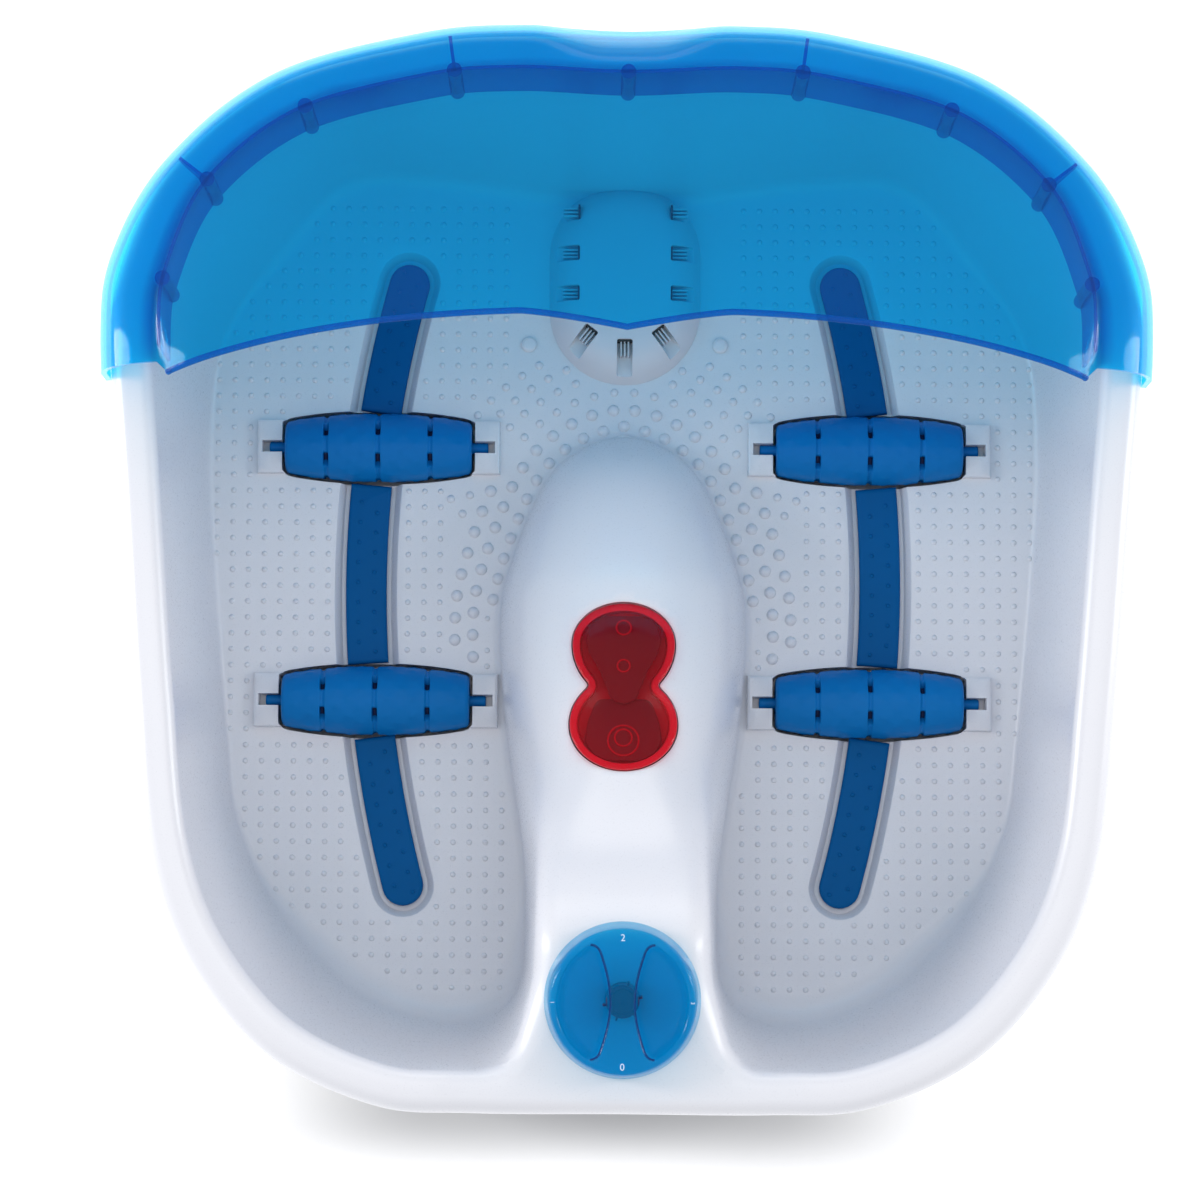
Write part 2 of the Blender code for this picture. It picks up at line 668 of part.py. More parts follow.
def make_rollers(material):
    """Barrel rollers with stub axles, each with its origin on its turning axis."""
    profile = [(0, -ROLLER_HALF_LENGTH - STUB_LENGTH), (STUB_RADIUS, -ROLLER_HALF_LENGTH - STUB_LENGTH)]
    profile.append((STUB_RADIUS, -ROLLER_HALF_LENGTH))
    profile.append((ROLLER_END_RADIUS - 1.2 * MM, -ROLLER_HALF_LENGTH))
    reach = ROLLER_HALF_LENGTH - 1.0 * MM
    for share in (-1, -0.7, -0.35, 0, 0.35, 0.7, 1):
        profile.append((barrel_radius(share * reach), share * reach))
    profile.append((ROLLER_END_RADIUS - 1.2 * MM, ROLLER_HALF_LENGTH))
    profile.append((STUB_RADIUS, ROLLER_HALF_LENGTH))
    profile.append((STUB_RADIUS, ROLLER_HALF_LENGTH + STUB_LENGTH))
    profile.append((0, ROLLER_HALF_LENGTH + STUB_LENGTH))
    for row, y in ROLLER_ROWS.items():
        for side, hand in ((-1, "left"), (1, "right")):
            roller = turned(f"roller_{row}_{hand}", profile, material, steps=16, about="X")
            roller.location = (side * ROLLER_X, y, ROLLER_AXIS_Z)


# ---------------------------------------------------------------- heater

def stadium(half_width, half_length, y_middle, steps=7):
    points = []
    straight = half_length - half_width
    for end in (1, -1):
        for k in range(steps + 1):
            t = math.pi * k / steps
            c, s = math.cos(t), math.sin(t)
            points.append((end * half_width * c, y_middle + end * (straight + half_width * s)))
    return points


def make_heater_cover(material):
    rings = []
    for shrink, rise in ((0, 0), (1.5, 3.5), (4.0, 7.5), (7.5, 10.2), (11, 11)):
        outline = stadium(HEATER_HALF_WIDTH - shrink * MM, HEATER_HALF_LENGTH - shrink * MM, HEATER_Y)
        rings.append([(x, y, FLOOR_Z + GAP + rise * MM) for x, y in outline])
    cover = loft("heater_cover", rings, material)
    inside = []
    for shrink, rise in ((2.2, -2), (3.4, 3.4), (8, 7.6), (11, 9)):
        outline = stadium(HEATER_HALF_WIDTH - shrink * MM, HEATER_HALF_LENGTH - shrink * MM, HEATER_Y)
        inside.append([(x, y, FLOOR_Z + GAP + rise * MM) for x, y in outline])
    cut(cover, loft("cover_inside", inside))
    for x, y, turn in slot_places():
        slot = box("slot", (-2 * MM, -9 * MM, FLOOR_Z + 3.5 * MM), (2 * MM, 9 * MM, FLOOR_Z + 8.6 * MM))
        slot.data.transform(Matrix.Translation((x, y, 0)) @ Matrix.Rotation(turn, 4, "Z"))
        cut(cover, slot)
    return smooth(cover)


def slot_places():
    """Twelve water slots round the heater cover: x, y and the turn that points each one outwards."""
    half_width, half_length = HEATER_HALF_WIDTH - 4 * MM, HEATER_HALF_LENGTH - 4 * MM
    straight = half_length - half_width
    places = []
    for end in (1, -1):
        for degrees in (45, 90, 135):
            t = math.radians(degrees)
            x = half_width * math.cos(t)
            y = HEATER_Y + end * (straight + half_width * math.sin(t))
            places.append((x, y, end * (t - math.pi / 2)))
    for side in (-1, 1):
        for step in (-1, 0, 1):
            places.append((side * half_width, HEATER_Y + step * 12 * MM, math.pi / 2))
    return places


def make_heater(plate_material, thermostat_material):
    top = FLOOR_Z - FLOOR_THICKNESS - GAP
    plate = stadium(20 * MM, 30 * MM, HEATER_Y)
    smooth(prism("heating_plate", plate, top - 3 * MM, top, plate_material))
    low = top - 3 * MM - GAP
    thermostat = cylinder("thermostat", (0, HEATER_Y), 7 * MM, low - 8 * MM, low, thermostat_material)
    ears_low = (-11 * MM, HEATER_Y - 3 * MM, low - 2 * MM)
    ears_high = (11 * MM, HEATER_Y + 3 * MM, low - 0.5 * MM)
    join(thermostat, box("ears", ears_low, ears_high))


def make_plugs(material):
    """Two plain plugs in the floor over the screws that hold the heater's frame."""
    for side, hand in ((-1, "left"), (1, "right")):
        low = FLOOR_Z + GAP
        place = (side * 35.5 * MM, 95 * MM)
        cylinder(f"screw_plug_{hand}", place, 2.8 * MM, low, low + 1.1 * MM, material, steps=20)


# ---------------------------------------------------------------- splash guard

def guard_edge_y(x):
    """The free front edge: bowed, lower at both ends, with a shallow point in the middle."""
    share = abs(x) / (155 * MM)
    point = max(0.0, 1 - abs(x) / (36 * MM)) ** 1.2
    return GUARD_EDGE_Y - GUARD_END_DROP * share ** 2.6 - GUARD_POINT_DROP * point


def guard_section(angle):
    """Points across the guard at one direction, from the skirt over the rim to the free edge."""
    off_end = abs(angle - math.pi) / (math.pi - GUARD_END_ANGLE)
    overhang = -1.4 * MM + 3.6 * MM * smooth_step(0.66, 0.86, off_end)
    drop = 9.5 * MM * smooth_step(0.87, 0.93, off_end)
    points = []
    if drop > 0.5 * MM:
        points.append((*RIM.point(angle, -overhang), RIM_Z + 0.6 * MM - drop))
    else:
        points.append((*RIM.point(angle, -overhang), RIM_Z + 0.6 * MM))
    band = [(0.0, RIM_Z + 6 * MM), (1.0 * MM, RIM_Z + 13 * MM), (4.2 * MM, RIM_Z + 19.5 * MM)]
    band += [(9.5 * MM, RIM_Z + 23.8 * MM), (GUARD_RIB_INSET - GUARD_THICKNESS / 2, GUARD_BAND_Z)]
    for inward, z in band:
        keep = max(0.0, 1 - inward / (10 * MM))
        points.append((*RIM.point(angle, inward - overhang * keep), z))
    x0, y0, z0 = points[-1]
    x1 = x0 * 0.975
    y1 = guard_edge_y(x1)
    depth = math.hypot(x1 - x0, y1 - y0)
    rise = GUARD_RISE * smooth_step(0, 90 * MM, depth)
    across = 4
    for k in range(1, across + 1):
        t = k / across
        points.append((x0 + (x1 - x0) * t, y0 + (y1 - y0) * t, z0 + rise * (1 - (1 - t) ** 2)))
    return points


def find_guard_end():
    """Direction in which the rim reaches the guard's ends."""
    angle = math.pi / 2
    while RIM.point(angle)[1] < GUARD_END_Y:
        angle += 0.001
    return angle


GUARD_END_ANGLE = find_guard_end()
POST_ANGLES = (0, 18.5, 34.5, 48.5, 61)  # degrees from the rear; all but the first are on both sides


def make_guard(material):
    steps = 36
    angles = [GUARD_END_ANGLE + 2 * (math.pi - GUARD_END_ANGLE) * k / steps for k in range(steps + 1)]
    sections = [guard_section(angle) for angle in angles]
    count = len(sections[0])
    vertices = [point for section in sections for point in section]
    faces = []
    for i in range(steps):
        for j in range(count - 1):
            a = i * count + j
            faces.append((a, a + 1, a + count + 1, a + count))
    guard = add_object("splash_guard", vertices, faces, material)
    flip_if_down(guard)
    shell = guard.modifiers.new("thickness", "SOLIDIFY")
    shell.thickness = GUARD_THICKNESS
    shell.offset = -1
    shell.use_even_offset = False
    bpy.context.view_layer.objects.active = guard
    with bpy.context.temp_override(object=guard, active_object=guard):
        bpy.ops.object.modifier_apply(modifier=shell.name)
    hangers = guard_rib()
    for degrees in POST_ANGLES:
        for side in ((1,) if degrees == 0 else (-1, 1)):
            x, y = RIM.point(math.pi + side * math.radians(degrees), GUARD_RIB_INSET)
            low = GUARD_RIB_BOTTOM_Z + 0.5 * MM
            join(hangers, cylinder("post", (x, y), POST_RADIUS, low, GUARD_BAND_Z - 0.7 * MM, steps=8))
    join(guard, hangers)
    return smooth(guard)


def flip_if_down(item):
    """Turns an open sheet so that its normals point up, as Solidify's offset expects."""
    middle = max(item.data.polygons, key=lambda face: face.center.z)
    if middle.normal.z < 0:
        item.data.flip_normals()


def guard_rib():
    """The wall under the guard that drops just inside the rim and keeps drips in the tub."""
    steps = 22
    first = GUARD_END_ANGLE + 0.03
    angles = [first + 2 * (math.pi - first) * k / steps for k in range(steps + 1)]
    half = 0.8 * MM
    rings = []
    for angle in angles:
        outer = RIM.point(angle, GUARD_RIB_INSET - half)
        inner = RIM.point(angle, GUARD_RIB_INSET + half)
        top = GUARD_BAND_Z - 1.0 * MM
        low = GUARD_RIB_BOTTOM_Z
        rings.append([(*outer, low), (*inner, low), (*inner, top), (*outer, top)])
    return loft("rib", rings)


# ---------------------------------------------------------------- underneath

def make_base_cover(material):
    step_in = SKIRT_DRAFT + WALL + 1.2 * MM
    cover = loft("base_cover", [RIM.ring(z, step_in) for z in (COVER_BOTTOM_Z, COVER_TOP_Z)], material)
    for x, y in FOOT_PLACES.values():
        cut(cover, cylinder("foot_hole", (x * MM, y * MM), 4 * MM, 0, 20 * MM, steps=12))
    for x, y in SCREW_PLACES:
        cut(cover, cylinder("screw_hole", (x * MM, y * MM), 2.1 * MM, 0, 20 * MM, steps=8))
    return cover


def make_feet(material):
    for name, (x, y) in FOOT_PLACES.items():
        top = COVER_BOTTOM_Z - GAP
        profile = [(0, 0), (FOOT_RADIUS - 1 * MM, 0), (FOOT_RADIUS, 1 * MM), (FOOT_RADIUS, top)]
        profile += [(3.6 * MM, top), (3.6 * MM, COVER_TOP_Z - GAP), (0, COVER_TOP_Z - GAP)]
        foot = turned(f"foot_{name}", profile, material, steps=16)
        foot.location = (x * MM, y * MM, 0)


def make_screws(material, tub):
    """Screws through the base cover into pillars that hang from the tub."""
    for number, (x, y) in enumerate(SCREW_PLACES, start=1):
        place = (x * MM, y * MM)
        top = pillar_top(y)
        pillar = cylinder("pillar", place, 4 * MM, COVER_TOP_Z + GAP, top, steps=10)
        cut(pillar, cylinder("pilot", place, 1.9 * MM, 0, COVER_TOP_Z + 9 * MM, steps=8))
        join(tub, pillar)
        head = 3.6 * MM
        stem = 1.6 * MM
        under_head = COVER_BOTTOM_Z - GAP
        profile = [(0, 3.2 * MM), (head - 0.8 * MM, 3.2 * MM), (head, 4 * MM), (head, under_head)]
        profile += [(stem, under_head), (stem, COVER_TOP_Z + 8 * MM), (0, COVER_TOP_Z + 8.6 * MM)]
        screw = turned(f"base_screw_{number}", profile, material, steps=10)
        screw.location = (*place, 0)


def pillar_top(y):
    """Every pillar ends inside the floor's plate or the wall above it."""
    return FLOOR_Z - 1.5 * MM if abs(y) < 150 else FLOOR_Z + 3 * MM


def make_motor(can_material, clamp_material, shaft_material, weight_material):
    """Vibrator: a small motor whose shaft carries an off-centre weight."""
    guide = bpy.data.objects.new("motor_axis", None)
    bpy.context.scene.collection.objects.link(guide)
    guide.location = MOTOR_CENTRE
    half = MOTOR_LENGTH / 2
    profile = [(0, -half), (MOTOR_RADIUS - 0.8 * MM, -half), (MOTOR_RADIUS, -half + 0.8 * MM)]
    profile += [(MOTOR_RADIUS, half - 0.8 * MM), (MOTOR_RADIUS - 0.8 * MM, half), (4 * MM, half)]
    nose, bore, bore_end = half + 1.5 * MM, 1.3 * MM, half - 4 * MM
    profile += [(4 * MM, nose), (bore, nose), (bore, bore_end), (0, bore_end)]
    can = turned("vibration_motor", profile, can_material, steps=20, about="X")
    low, high = half - 3.7 * MM, half + 13 * MM
    shaft_profile = [(0, low), (MOTOR_SHAFT_RADIUS, low), (MOTOR_SHAFT_RADIUS, high), (0, high)]
    shaft = turned("motor_shaft", shaft_profile, shaft_material, steps=16, about="X")
    weight = half_disc(8.2 * MM, half + 3 * MM, half + 11.5 * MM, weight_material)
    for item in (can, shaft, weight):
        item.parent = guide
    bottom = COVER_TOP_Z + GAP
    width = MOTOR_RADIUS + 4 * MM
    low = (MOTOR_CENTRE.x - 12 * MM, MOTOR_CENTRE.y - width, bottom)
    high = (MOTOR_CENTRE.x + 12 * MM, MOTOR_CENTRE.y + width, MOTOR_CENTRE.z)
    clamp = box("motor_cradle", low, high, clamp_material)
    seat = [(0, -20 * MM), (MOTOR_RADIUS + GAP, -20 * MM), (MOTOR_RADIUS + GAP, 20 * MM), (0, 20 * MM)]
    seat = turned("seat", seat, steps=20, about="X")
    seat.data.transform(Matrix.Translation(MOTOR_CENTRE))
    cut(clamp, seat)


def half_disc(radius, x0, x1, material):
    """Eccentric weight: a half disc with a hole for the shaft."""
    steps = 14
    points = []
    for k in range(steps + 1):
        t = math.pi + math.pi * k / steps
        points.append((radius * math.cos(t), radius * math.sin(t)))
    points += [(3 * MM, 0.5 * MM), (2.2 * MM, 2.4 * MM), (-2.2 * MM, 2.4 * MM), (-3 * MM, 0.5 * MM)]
    weight = loft("eccentric_weight", [[(x, y, z) for y, z in points] for x in (x0, x1)], material)
    hole_radius = MOTOR_SHAFT_RADIUS + 0.25 * MM
    hole = [(0, x0 - 2 * MM), (hole_radius, x0 - 2 * MM), (hole_radius, x1 + 2 * MM), (0, x1 + 2 * MM)]
    cut(weight, turned("hole", hole, steps=16, about="X"))
    return weight


def make_pump(body_material, hose_material, tee_material):
    low, high = PUMP_CENTRE - PUMP_SIZE / 2, PUMP_CENTRE + PUMP_SIZE / 2
    pump = box("air_pump", low, high, body_material)
    round_edges = pump.modifiers.new("round", "BEVEL")
    round_edges.width = 3 * MM
    round_edges.segments = 2
    nozzle_y = high.y + 8 * MM
    tee_z = PUMP_CENTRE.z
    stub = rod("stub", [(PUMP_CENTRE.x, high.y - 2 * MM, tee_z), (PUMP_CENTRE.x, nozzle_y, tee_z)], 2 * MM)
    tee_y = nozzle_y + GAP
    y = tee_y + 4 * MM
    bar_ends = [(PUMP_CENTRE.x - 7 * MM, y, tee_z), (PUMP_CENTRE.x + 7 * MM, y, tee_z)]
    tee = rod("hose_tee", bar_ends, 3 * MM, tee_material)
    join(tee, rod("tee_leg", [(PUMP_CENTRE.x, tee_y, tee_z), (PUMP_CENTRE.x, y, tee_z)], 3 * MM))
    with_stub = pump.modifiers.new("outlet", "BOOLEAN")
    with_stub.operation = "UNION"
    with_stub.object = stub
    stub.hide_render = True
    stub.display_type = "WIRE"
    inlet_z = AIRWAY_FLOOR_Z - 2 * MM - 2 * GAP
    right_x, inlet_y = strip_point(1, (STRIP_STRETCHES["middle"][0] + STRIP_STRETCHES["middle"][1]) / 2)
    start_right = Vector((PUMP_CENTRE.x + 7 * MM + 2 * GAP, y, tee_z))
    start_left = Vector((PUMP_CENTRE.x - 7 * MM - 2 * GAP, y, tee_z))
    right = [start_right, start_right + Vector((5, 0, 0)) * MM, start_right + Vector((12, 0, 0)) * MM]
    right += [Vector(place) * MM for place in ((104, -40, 17), (100, -14, 16))]
    left = [start_left, start_left + Vector((-5, 0, 0)) * MM, start_left + Vector((-12, 1, -1)) * MM]
    left += [Vector(place) * MM for place in ((34, -46, 15), (8, -38, 14), (-22, -36, 14))]
    left += [Vector(place) * MM for place in ((-52, -26, 14.5), (-82, -10, 15))]
    for route, x in ((right, right_x), (left, -right_x)):
        route += [Vector((x, inlet_y - 1 * MM, 22 * MM)), Vector((x, inlet_y, 27 * MM))]
        route.append(Vector((x, inlet_y, inlet_z)))
    hose("air_hose_right", right, hose_material)
    hose("air_hose_left", left, hose_material)


def rod(name, ends, radius, material=None):
    start, end = Vector(ends[0]), Vector(ends[1])
    along = end - start
    item = cylinder(name, (0, 0), radius, 0, along.length, material, steps=16)
    turn = Vector((0, 0, 1)).rotation_difference(along.normalized()).to_matrix().to_4x4()
    item.data.transform(Matrix.Translation(start) @ turn)
    return item


def hose(name, route, material):
    """A soft tube on a smooth curve through its route."""
    points = [tuple(p) for p in route]
    fine = [through(points, k / 4) for k in range((len(points) - 1) * 4 + 1)]
    curve = bpy.data.curves.new(name, "CURVE")
    curve.dimensions = "3D"
    curve.bevel_depth = 2.5 * MM
    curve.bevel_resolution = 2
    curve.use_fill_caps = True
    line = curve.splines.new("POLY")
    line.points.add(len(fine) - 1)
    for place, point in zip(line.points, fine):
        place.co = (*point, 1)
    curve.materials.append(material)
    item = bpy.data.objects.new(name, curve)
    bpy.context.scene.collection.objects.link(item)


def make_inlet(rubber_material, block_material, tub):
    """Cord gland in the rear of the skirt and the block inside that the wires end in."""
    x, z = 62 * MM, 26 * MM
    lean = SKIRT_DRAFT * 0.87
    angle = math.pi / 2
    while RIM.point(angle, lean)[0] > x:
        angle += 0.001
    surface_y = RIM.point(angle, lean)[1]
    cut(tub, rod("gland_hole", [(x, surface_y - 14 * MM, z), (x, surface_y + 10 * MM, z)], 5 * MM))
    profile = [(3.2, -6), (4.7, -6), (4.7, 1.6), (7.5, 1.6), (6.6, 3.6), (3.2, 3.6)]
    gland = turned("cord_gland", [(r * MM, h * MM) for r, h in profile], rubber_material, steps=16)
    gland.rotation_euler = (-math.pi / 2, 0, 0)
    gland.location = (x, surface_y, z)
    low = (48 * MM, 138 * MM, COVER_TOP_Z + GAP)
    high = (76 * MM, 150 * MM, 22 * MM)
    block = box("terminal_block", low, high, block_material)
    for k in range(3):
        cut(block, cylinder("well", (53 * MM + k * 9 * MM, 144 * MM), 2.4 * MM, 17 * MM, 30 * MM, steps=12))


# ---------------------------------------------------------------- everything

def main():
    clear_scene()
    white = make_material("tub_white", (0.80, 0.80, 0.83), 0.28)
    cover_white = make_material("cover_white", (0.74, 0.74, 0.78), 0.45)
    guard_blue = make_material("guard_blue", (0.01, 0.26, 0.62), 0.10)
    knob_blue = make_material("knob_blue", (0.02, 0.20, 0.56), 0.12)
    roller_blue = make_material("roller_blue", (0.01, 0.13, 0.42), 0.35)
    strip_blue = make_material("strip_blue", (0.006, 0.075, 0.27), 0.42)
    lens_red = make_material("lens_red", (0.42, 0.01, 0.02), 0.10)
    rubber = make_material("rubber", (0.05, 0.05, 0.055), 0.75)
    steel = make_material("steel", (0.55, 0.55, 0.57), 0.30, 1.0)
    brass = make_material("brass", (0.60, 0.43, 0.16), 0.35, 1.0)
    black = make_material("black_plastic", (0.03, 0.03, 0.035), 0.45)
    lamp_red = make_material("lamp_red", (0.50, 0.04, 0.03), 0.15)
    hose_clear = make_material("hose_clear", (0.62, 0.64, 0.66), 0.35)

    tub = make_tub(white)
    thicken_floor(tub)
    cut_troughs(tub)
    cut_pockets(tub)
    cut_lens_opening(tub)
    cut_knob_hole(tub)
    make_base_cover(cover_white)
    make_screws(steel, tub)
    make_inlet(rubber, black, tub)
    smooth(tidy_mesh(tub))
    make_feet(rubber)
    make_rollers(roller_blue)
    make_strips(strip_blue)
    make_heater_cover(cover_white)
    make_heater(steel, black)
    make_plugs(cover_white)
    make_lens(lens_red)
    make_lens_seal(rubber)
    make_lamps(black, lamp_red)
    make_knob(knob_blue, brass, black, rubber)
    make_guard(guard_blue)
    make_motor(steel, black, steel, brass)
    make_pump(black, hose_clear, black)


main()
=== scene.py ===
"""The looks of a foot spa basin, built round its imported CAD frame.

Lengths in this script are millimetres until a mesh is made. The plan is seen from above, +Y towards
the rear and +X to the right, with the origin on the ground under the middle.
"""
import functools
import json
import math

import bmesh
import bpy
import numpy as np
from mathutils import Matrix, Vector
from mathutils.geometry import delaunay_2d_cdt


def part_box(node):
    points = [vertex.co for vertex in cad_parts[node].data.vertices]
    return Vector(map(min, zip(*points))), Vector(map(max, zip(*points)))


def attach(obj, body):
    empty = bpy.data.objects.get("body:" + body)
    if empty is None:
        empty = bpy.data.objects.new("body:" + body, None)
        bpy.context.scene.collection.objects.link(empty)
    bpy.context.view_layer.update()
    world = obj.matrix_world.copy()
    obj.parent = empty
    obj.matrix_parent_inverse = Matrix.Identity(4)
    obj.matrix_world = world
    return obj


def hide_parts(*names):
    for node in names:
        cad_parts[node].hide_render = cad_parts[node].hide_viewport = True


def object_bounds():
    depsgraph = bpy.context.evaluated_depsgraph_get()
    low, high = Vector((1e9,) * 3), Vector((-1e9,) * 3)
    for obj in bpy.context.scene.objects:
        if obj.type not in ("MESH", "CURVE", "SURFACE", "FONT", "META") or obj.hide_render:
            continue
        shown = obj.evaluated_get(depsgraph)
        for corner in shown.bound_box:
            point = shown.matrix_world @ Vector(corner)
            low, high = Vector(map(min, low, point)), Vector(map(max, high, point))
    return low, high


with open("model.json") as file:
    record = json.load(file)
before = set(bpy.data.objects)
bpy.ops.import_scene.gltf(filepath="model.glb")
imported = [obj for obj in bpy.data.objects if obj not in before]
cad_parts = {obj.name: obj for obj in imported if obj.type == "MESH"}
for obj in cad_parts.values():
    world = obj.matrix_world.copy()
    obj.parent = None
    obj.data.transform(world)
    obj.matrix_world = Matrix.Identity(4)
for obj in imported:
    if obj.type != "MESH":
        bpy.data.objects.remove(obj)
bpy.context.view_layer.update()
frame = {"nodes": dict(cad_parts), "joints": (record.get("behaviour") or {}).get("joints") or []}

MM = 0.001

# Heights
FLOOR_Z = 42.0
RIM_Z = 160.0
SKIRT_BOTTOM_Z = 5.0
SHELL_WALL = 2.2

# Plan of the tub, from the middle of the front to the middle of the rear, right half
RIM_PLAN = [
    (0, -186.5), (50, -186.5), (84, -184), (121, -166.5), (148, -135), (162, -98), (168, -46),
    (173.5, 22), (177.5, 76), (174.2, 104), (158, 139), (122, 168.5), (72, 183), (38, 186.2), (0, 184.8),
]
FLOOR_PLAN = [
    (0, -157), (60, -157), (94, -147), (124, -118), (141, -84), (146, -50), (151, 4), (154, 54),
    (150, 95), (131, 127), (104, 156), (70, 158), (30, 153), (0, 152),
]
RIM_WIDTH = 14.5
RIM_TOP_INSET = 5.5
SKIRT_DRAFT = 8.0
RIM_EDGE = 4.5       # rounding of the rim's inner edge
CONSOLE_EDGE = 9.0   # rounding of the console's edges near the knob
CONSOLE_LEAN = 5.0   # how far the console's sides lean in near the knob
CORNER_BLEND = 26.0  # rounds the inside corners where the console meets the front wall

# Console: half width at the floor and height of its ridge, from the rear to the front
CONSOLE_WIDTH = [
    (60, 3), (57, 13), (47, 26), (30, 35), (6, 43), (-10, 45), (-35, 44), (-56, 41.5), (-81, 37.5),
    (-103, 35), (-140, 35.5), (-156, 38), (-192, 46),
]
CONSOLE_REAR_Y = 75.0
CONSOLE_RIDGE = [
    (60, 46), (57, 56), (47, 71), (30, 85), (6, 99), (-7, 104), (-38, 115.5), (-69, 127), (-92, 138),
    (-106, 148), (-116, 155), (-126, 159.6), (-138, 160.2), (-172, 157.8), (-192, 157.7),
]

# Air strips and their troughs
STRIP_BULGE_X = 95.0
STRIP_MIDDLE_Y = 6.0
STRIP_BEND_RADIUS = 430.0
STRIP_WIDTH = 15.0
TROUGH_WIDTH = 24.0
TROUGH_DEPTH = 4.5
TROUGH_SLOPE = 3.0
TROUGH_HALF_SPAN = 124.0

# Pockets and bearing blocks of the rollers
POCKET_CLEARANCE = 1.2
POCKET_DEPTH = 14.8
BEARING_LENGTH = 9.0
BEARING_WIDTH = 19.5
BEARING_RISE = 3.5
SLOT_WIDTH = 4.4
SLOT_BOTTOM_Z = 38.8

# Rollers
STUB_LENGTH = 6.0
STUB_RADIUS = 2.0
ROLLER_END_RADIUS = 9.4
GROOVES = (-19.2, 0.0, 19.2)
BUMP_RINGS = (-29.5, -24.4, -13.8, -9.6, -5.2, 5.2, 9.6, 13.8, 24.4, 29.5)
PITS_AROUND = 6
BUMPS_AROUND = 12

# Pips and nodes on the floor; a row has its distance from the console's foot, its spacing, its
# stagger in spacings and its lowest y
PIP_PITCH = 5.9
PIP_RADIUS = 1.05
MEDIUM_RADIUS = 1.55
NODE_RADIUS = 2.2
NODE_ROWS = [(3.6, 7.9, 0.0, -6), (10.4, 8.2, 0.5, -28), (17.0, 8.2, 0.0, -30)]
NODE_REAR_Y = 52
MEDIUM_ROWS = [(23.5, 7.4, 0.5, 22), (29.5, 7.4, 0.0, 34), (35.5, 7.4, 0.5, 44),
               (17.0, 7.6, 0.5, NODE_REAR_Y)]

# Where the tub's mesh has points: on the sides of the basin, over the rim's roll and down the skirt
AIR_LEVELS = [1.0, 0.82, 0.62, 0.42, 0.24, 0.1]     # of the foot's radius, on the water's side
FOOT_DEPTHS = [0.0, 0.08, 0.25, 0.6, 1.1]           # behind the foot
SIDE_LEVELS = [0.34, 0.48, 0.62, 0.76, 0.9, 1.0]    # of the lean
EDGE_TURNS = [18, 36, 54, 72, 90]                   # degrees round the edge
RIM_ROLL = [  # step in from the rim's outline, height over its top
    (RIM_TOP_INSET, 0.0), (4.3, -0.15), (3.2, -0.55), (2.2, -1.25), (1.3, -2.2), (0.6, -3.5),
    (0.15, -5.0), (0, -6.6),
]
SKIRT_HEIGHTS = (140, 120, 95, 70, 45, 25, 9)
WELL_DEPTH = 14.0    # of the lamp opening and the knob's hole

# Lamp window; outlines are right halves from front to rear
LENS_LOBES = [  # middle y, half width, reach away from the waist, reach towards the waist
    (-22.4, 18.2, 14.8, 20.0),
    (-51.8, 19.0, 16.7, 17.4),
]
LENS_WAIST_Y = -37.9
LENS_REAR_Y = -7.0
LENS_FRONT_Y = -69.0
LENS_WALL = 3.0
LENS_TONGUE = [
    (1.2, -44.4), (4.6, -42.6), (6.2, -38), (8.6, -32), (12.2, -26), (13.4, -21), (11.8, -15.6), (7.0, -12.2),
]
LENS_TRAY = [(6, -64.9), (10.8, -62.6), (13.6, -58), (12.6, -51), (10.2, -44.5), (8.6, -42.6)]
LENS_MARKS = [(-30.5, 2.2), (-16.5, 2.6), (-56.5, 3.0), (-57.5, 5.4)]     # y, radius

# Heater cover
MOUND_MIDDLE_Y = 118.0
MOUND_HALF_WIDTH = 28.0
MOUND_HALF_LENGTH = 38.0
MOUND_FLANK = [  # shrink of the outline, rise
    (0, -0.2), (0.4, 0.6), (1.4, 2.6), (2.8, 5.0), (4.6, 7.2), (6.8, 9.0), (9.2, 10.2), (12, 10.8),
    (16, 11.0),
]
NOTCHES = [  # x, y and the turn in degrees that points outwards, right half
    (0, 91.5, -90), (14.5, 96.5, -52), (21, 113, 0), (21, 128, 0), (21, 143.5, 0),
]

# Splash guard
GUARD_THICKNESS = 2.0
GUARD_END_Y = 63.0
GUARD_EDGE_Y = 81.5
GUARD_POINT_DROP = 5.8
GUARD_END_DROP = 21.0
GUARD_RIB_INSET = 19.6
GUARD_RIB_BOTTOM_Z = 150.0
GUARD_BAND_Z = 185.5
GUARD_RISE = 10.0
GUARD_ROOF_STEPS = 26
GUARD_STEPS = 230
GUARD_BEAD_RADIUS = 1.1
POST_RADIUS = 2.6
POST_ANGLES = (0, 18.5, 34.5, 48.5, 61)    # degrees from the rear
STAY_ANGLES = (18.5, 48.5)

# Knob, in its own frame with its seat at the origin
KNOB_RADIUS = 26.5
KNOB_TOP_RADIUS = 24.6
KNOB_BASE_Z = 1.0
KNOB_TOP_Z = 13.0
KNOB_SHAFT_RADIUS = 3.0
KNOB_HOLE_RADIUS = 6.0
RECESS_RADIUS = 22.4
RECESS_DEPTH = 7.4
RECESS_HALF_TURN = 61
HUB_RADIUS = 5.9
DIAL_NUMBERS = [  # figure, direction in degrees, radius, size, turned to face outwards
    (2, 90, 21.6, 1.0, False), (1, 180, 23.4, 0.55, True),
    (0, 270, 21.6, 1.0, False), (3, 0, 23.4, 0.55, True),
]
DIAL_FIGURE_SIZE = 3.3

# Underneath
FEET = [f"foot_{row}_{hand}" for row in ("front", "rear") for hand in ("left", "right")]
SCREWS = [f"base_screw_{number}" for number in range(1, 7)]

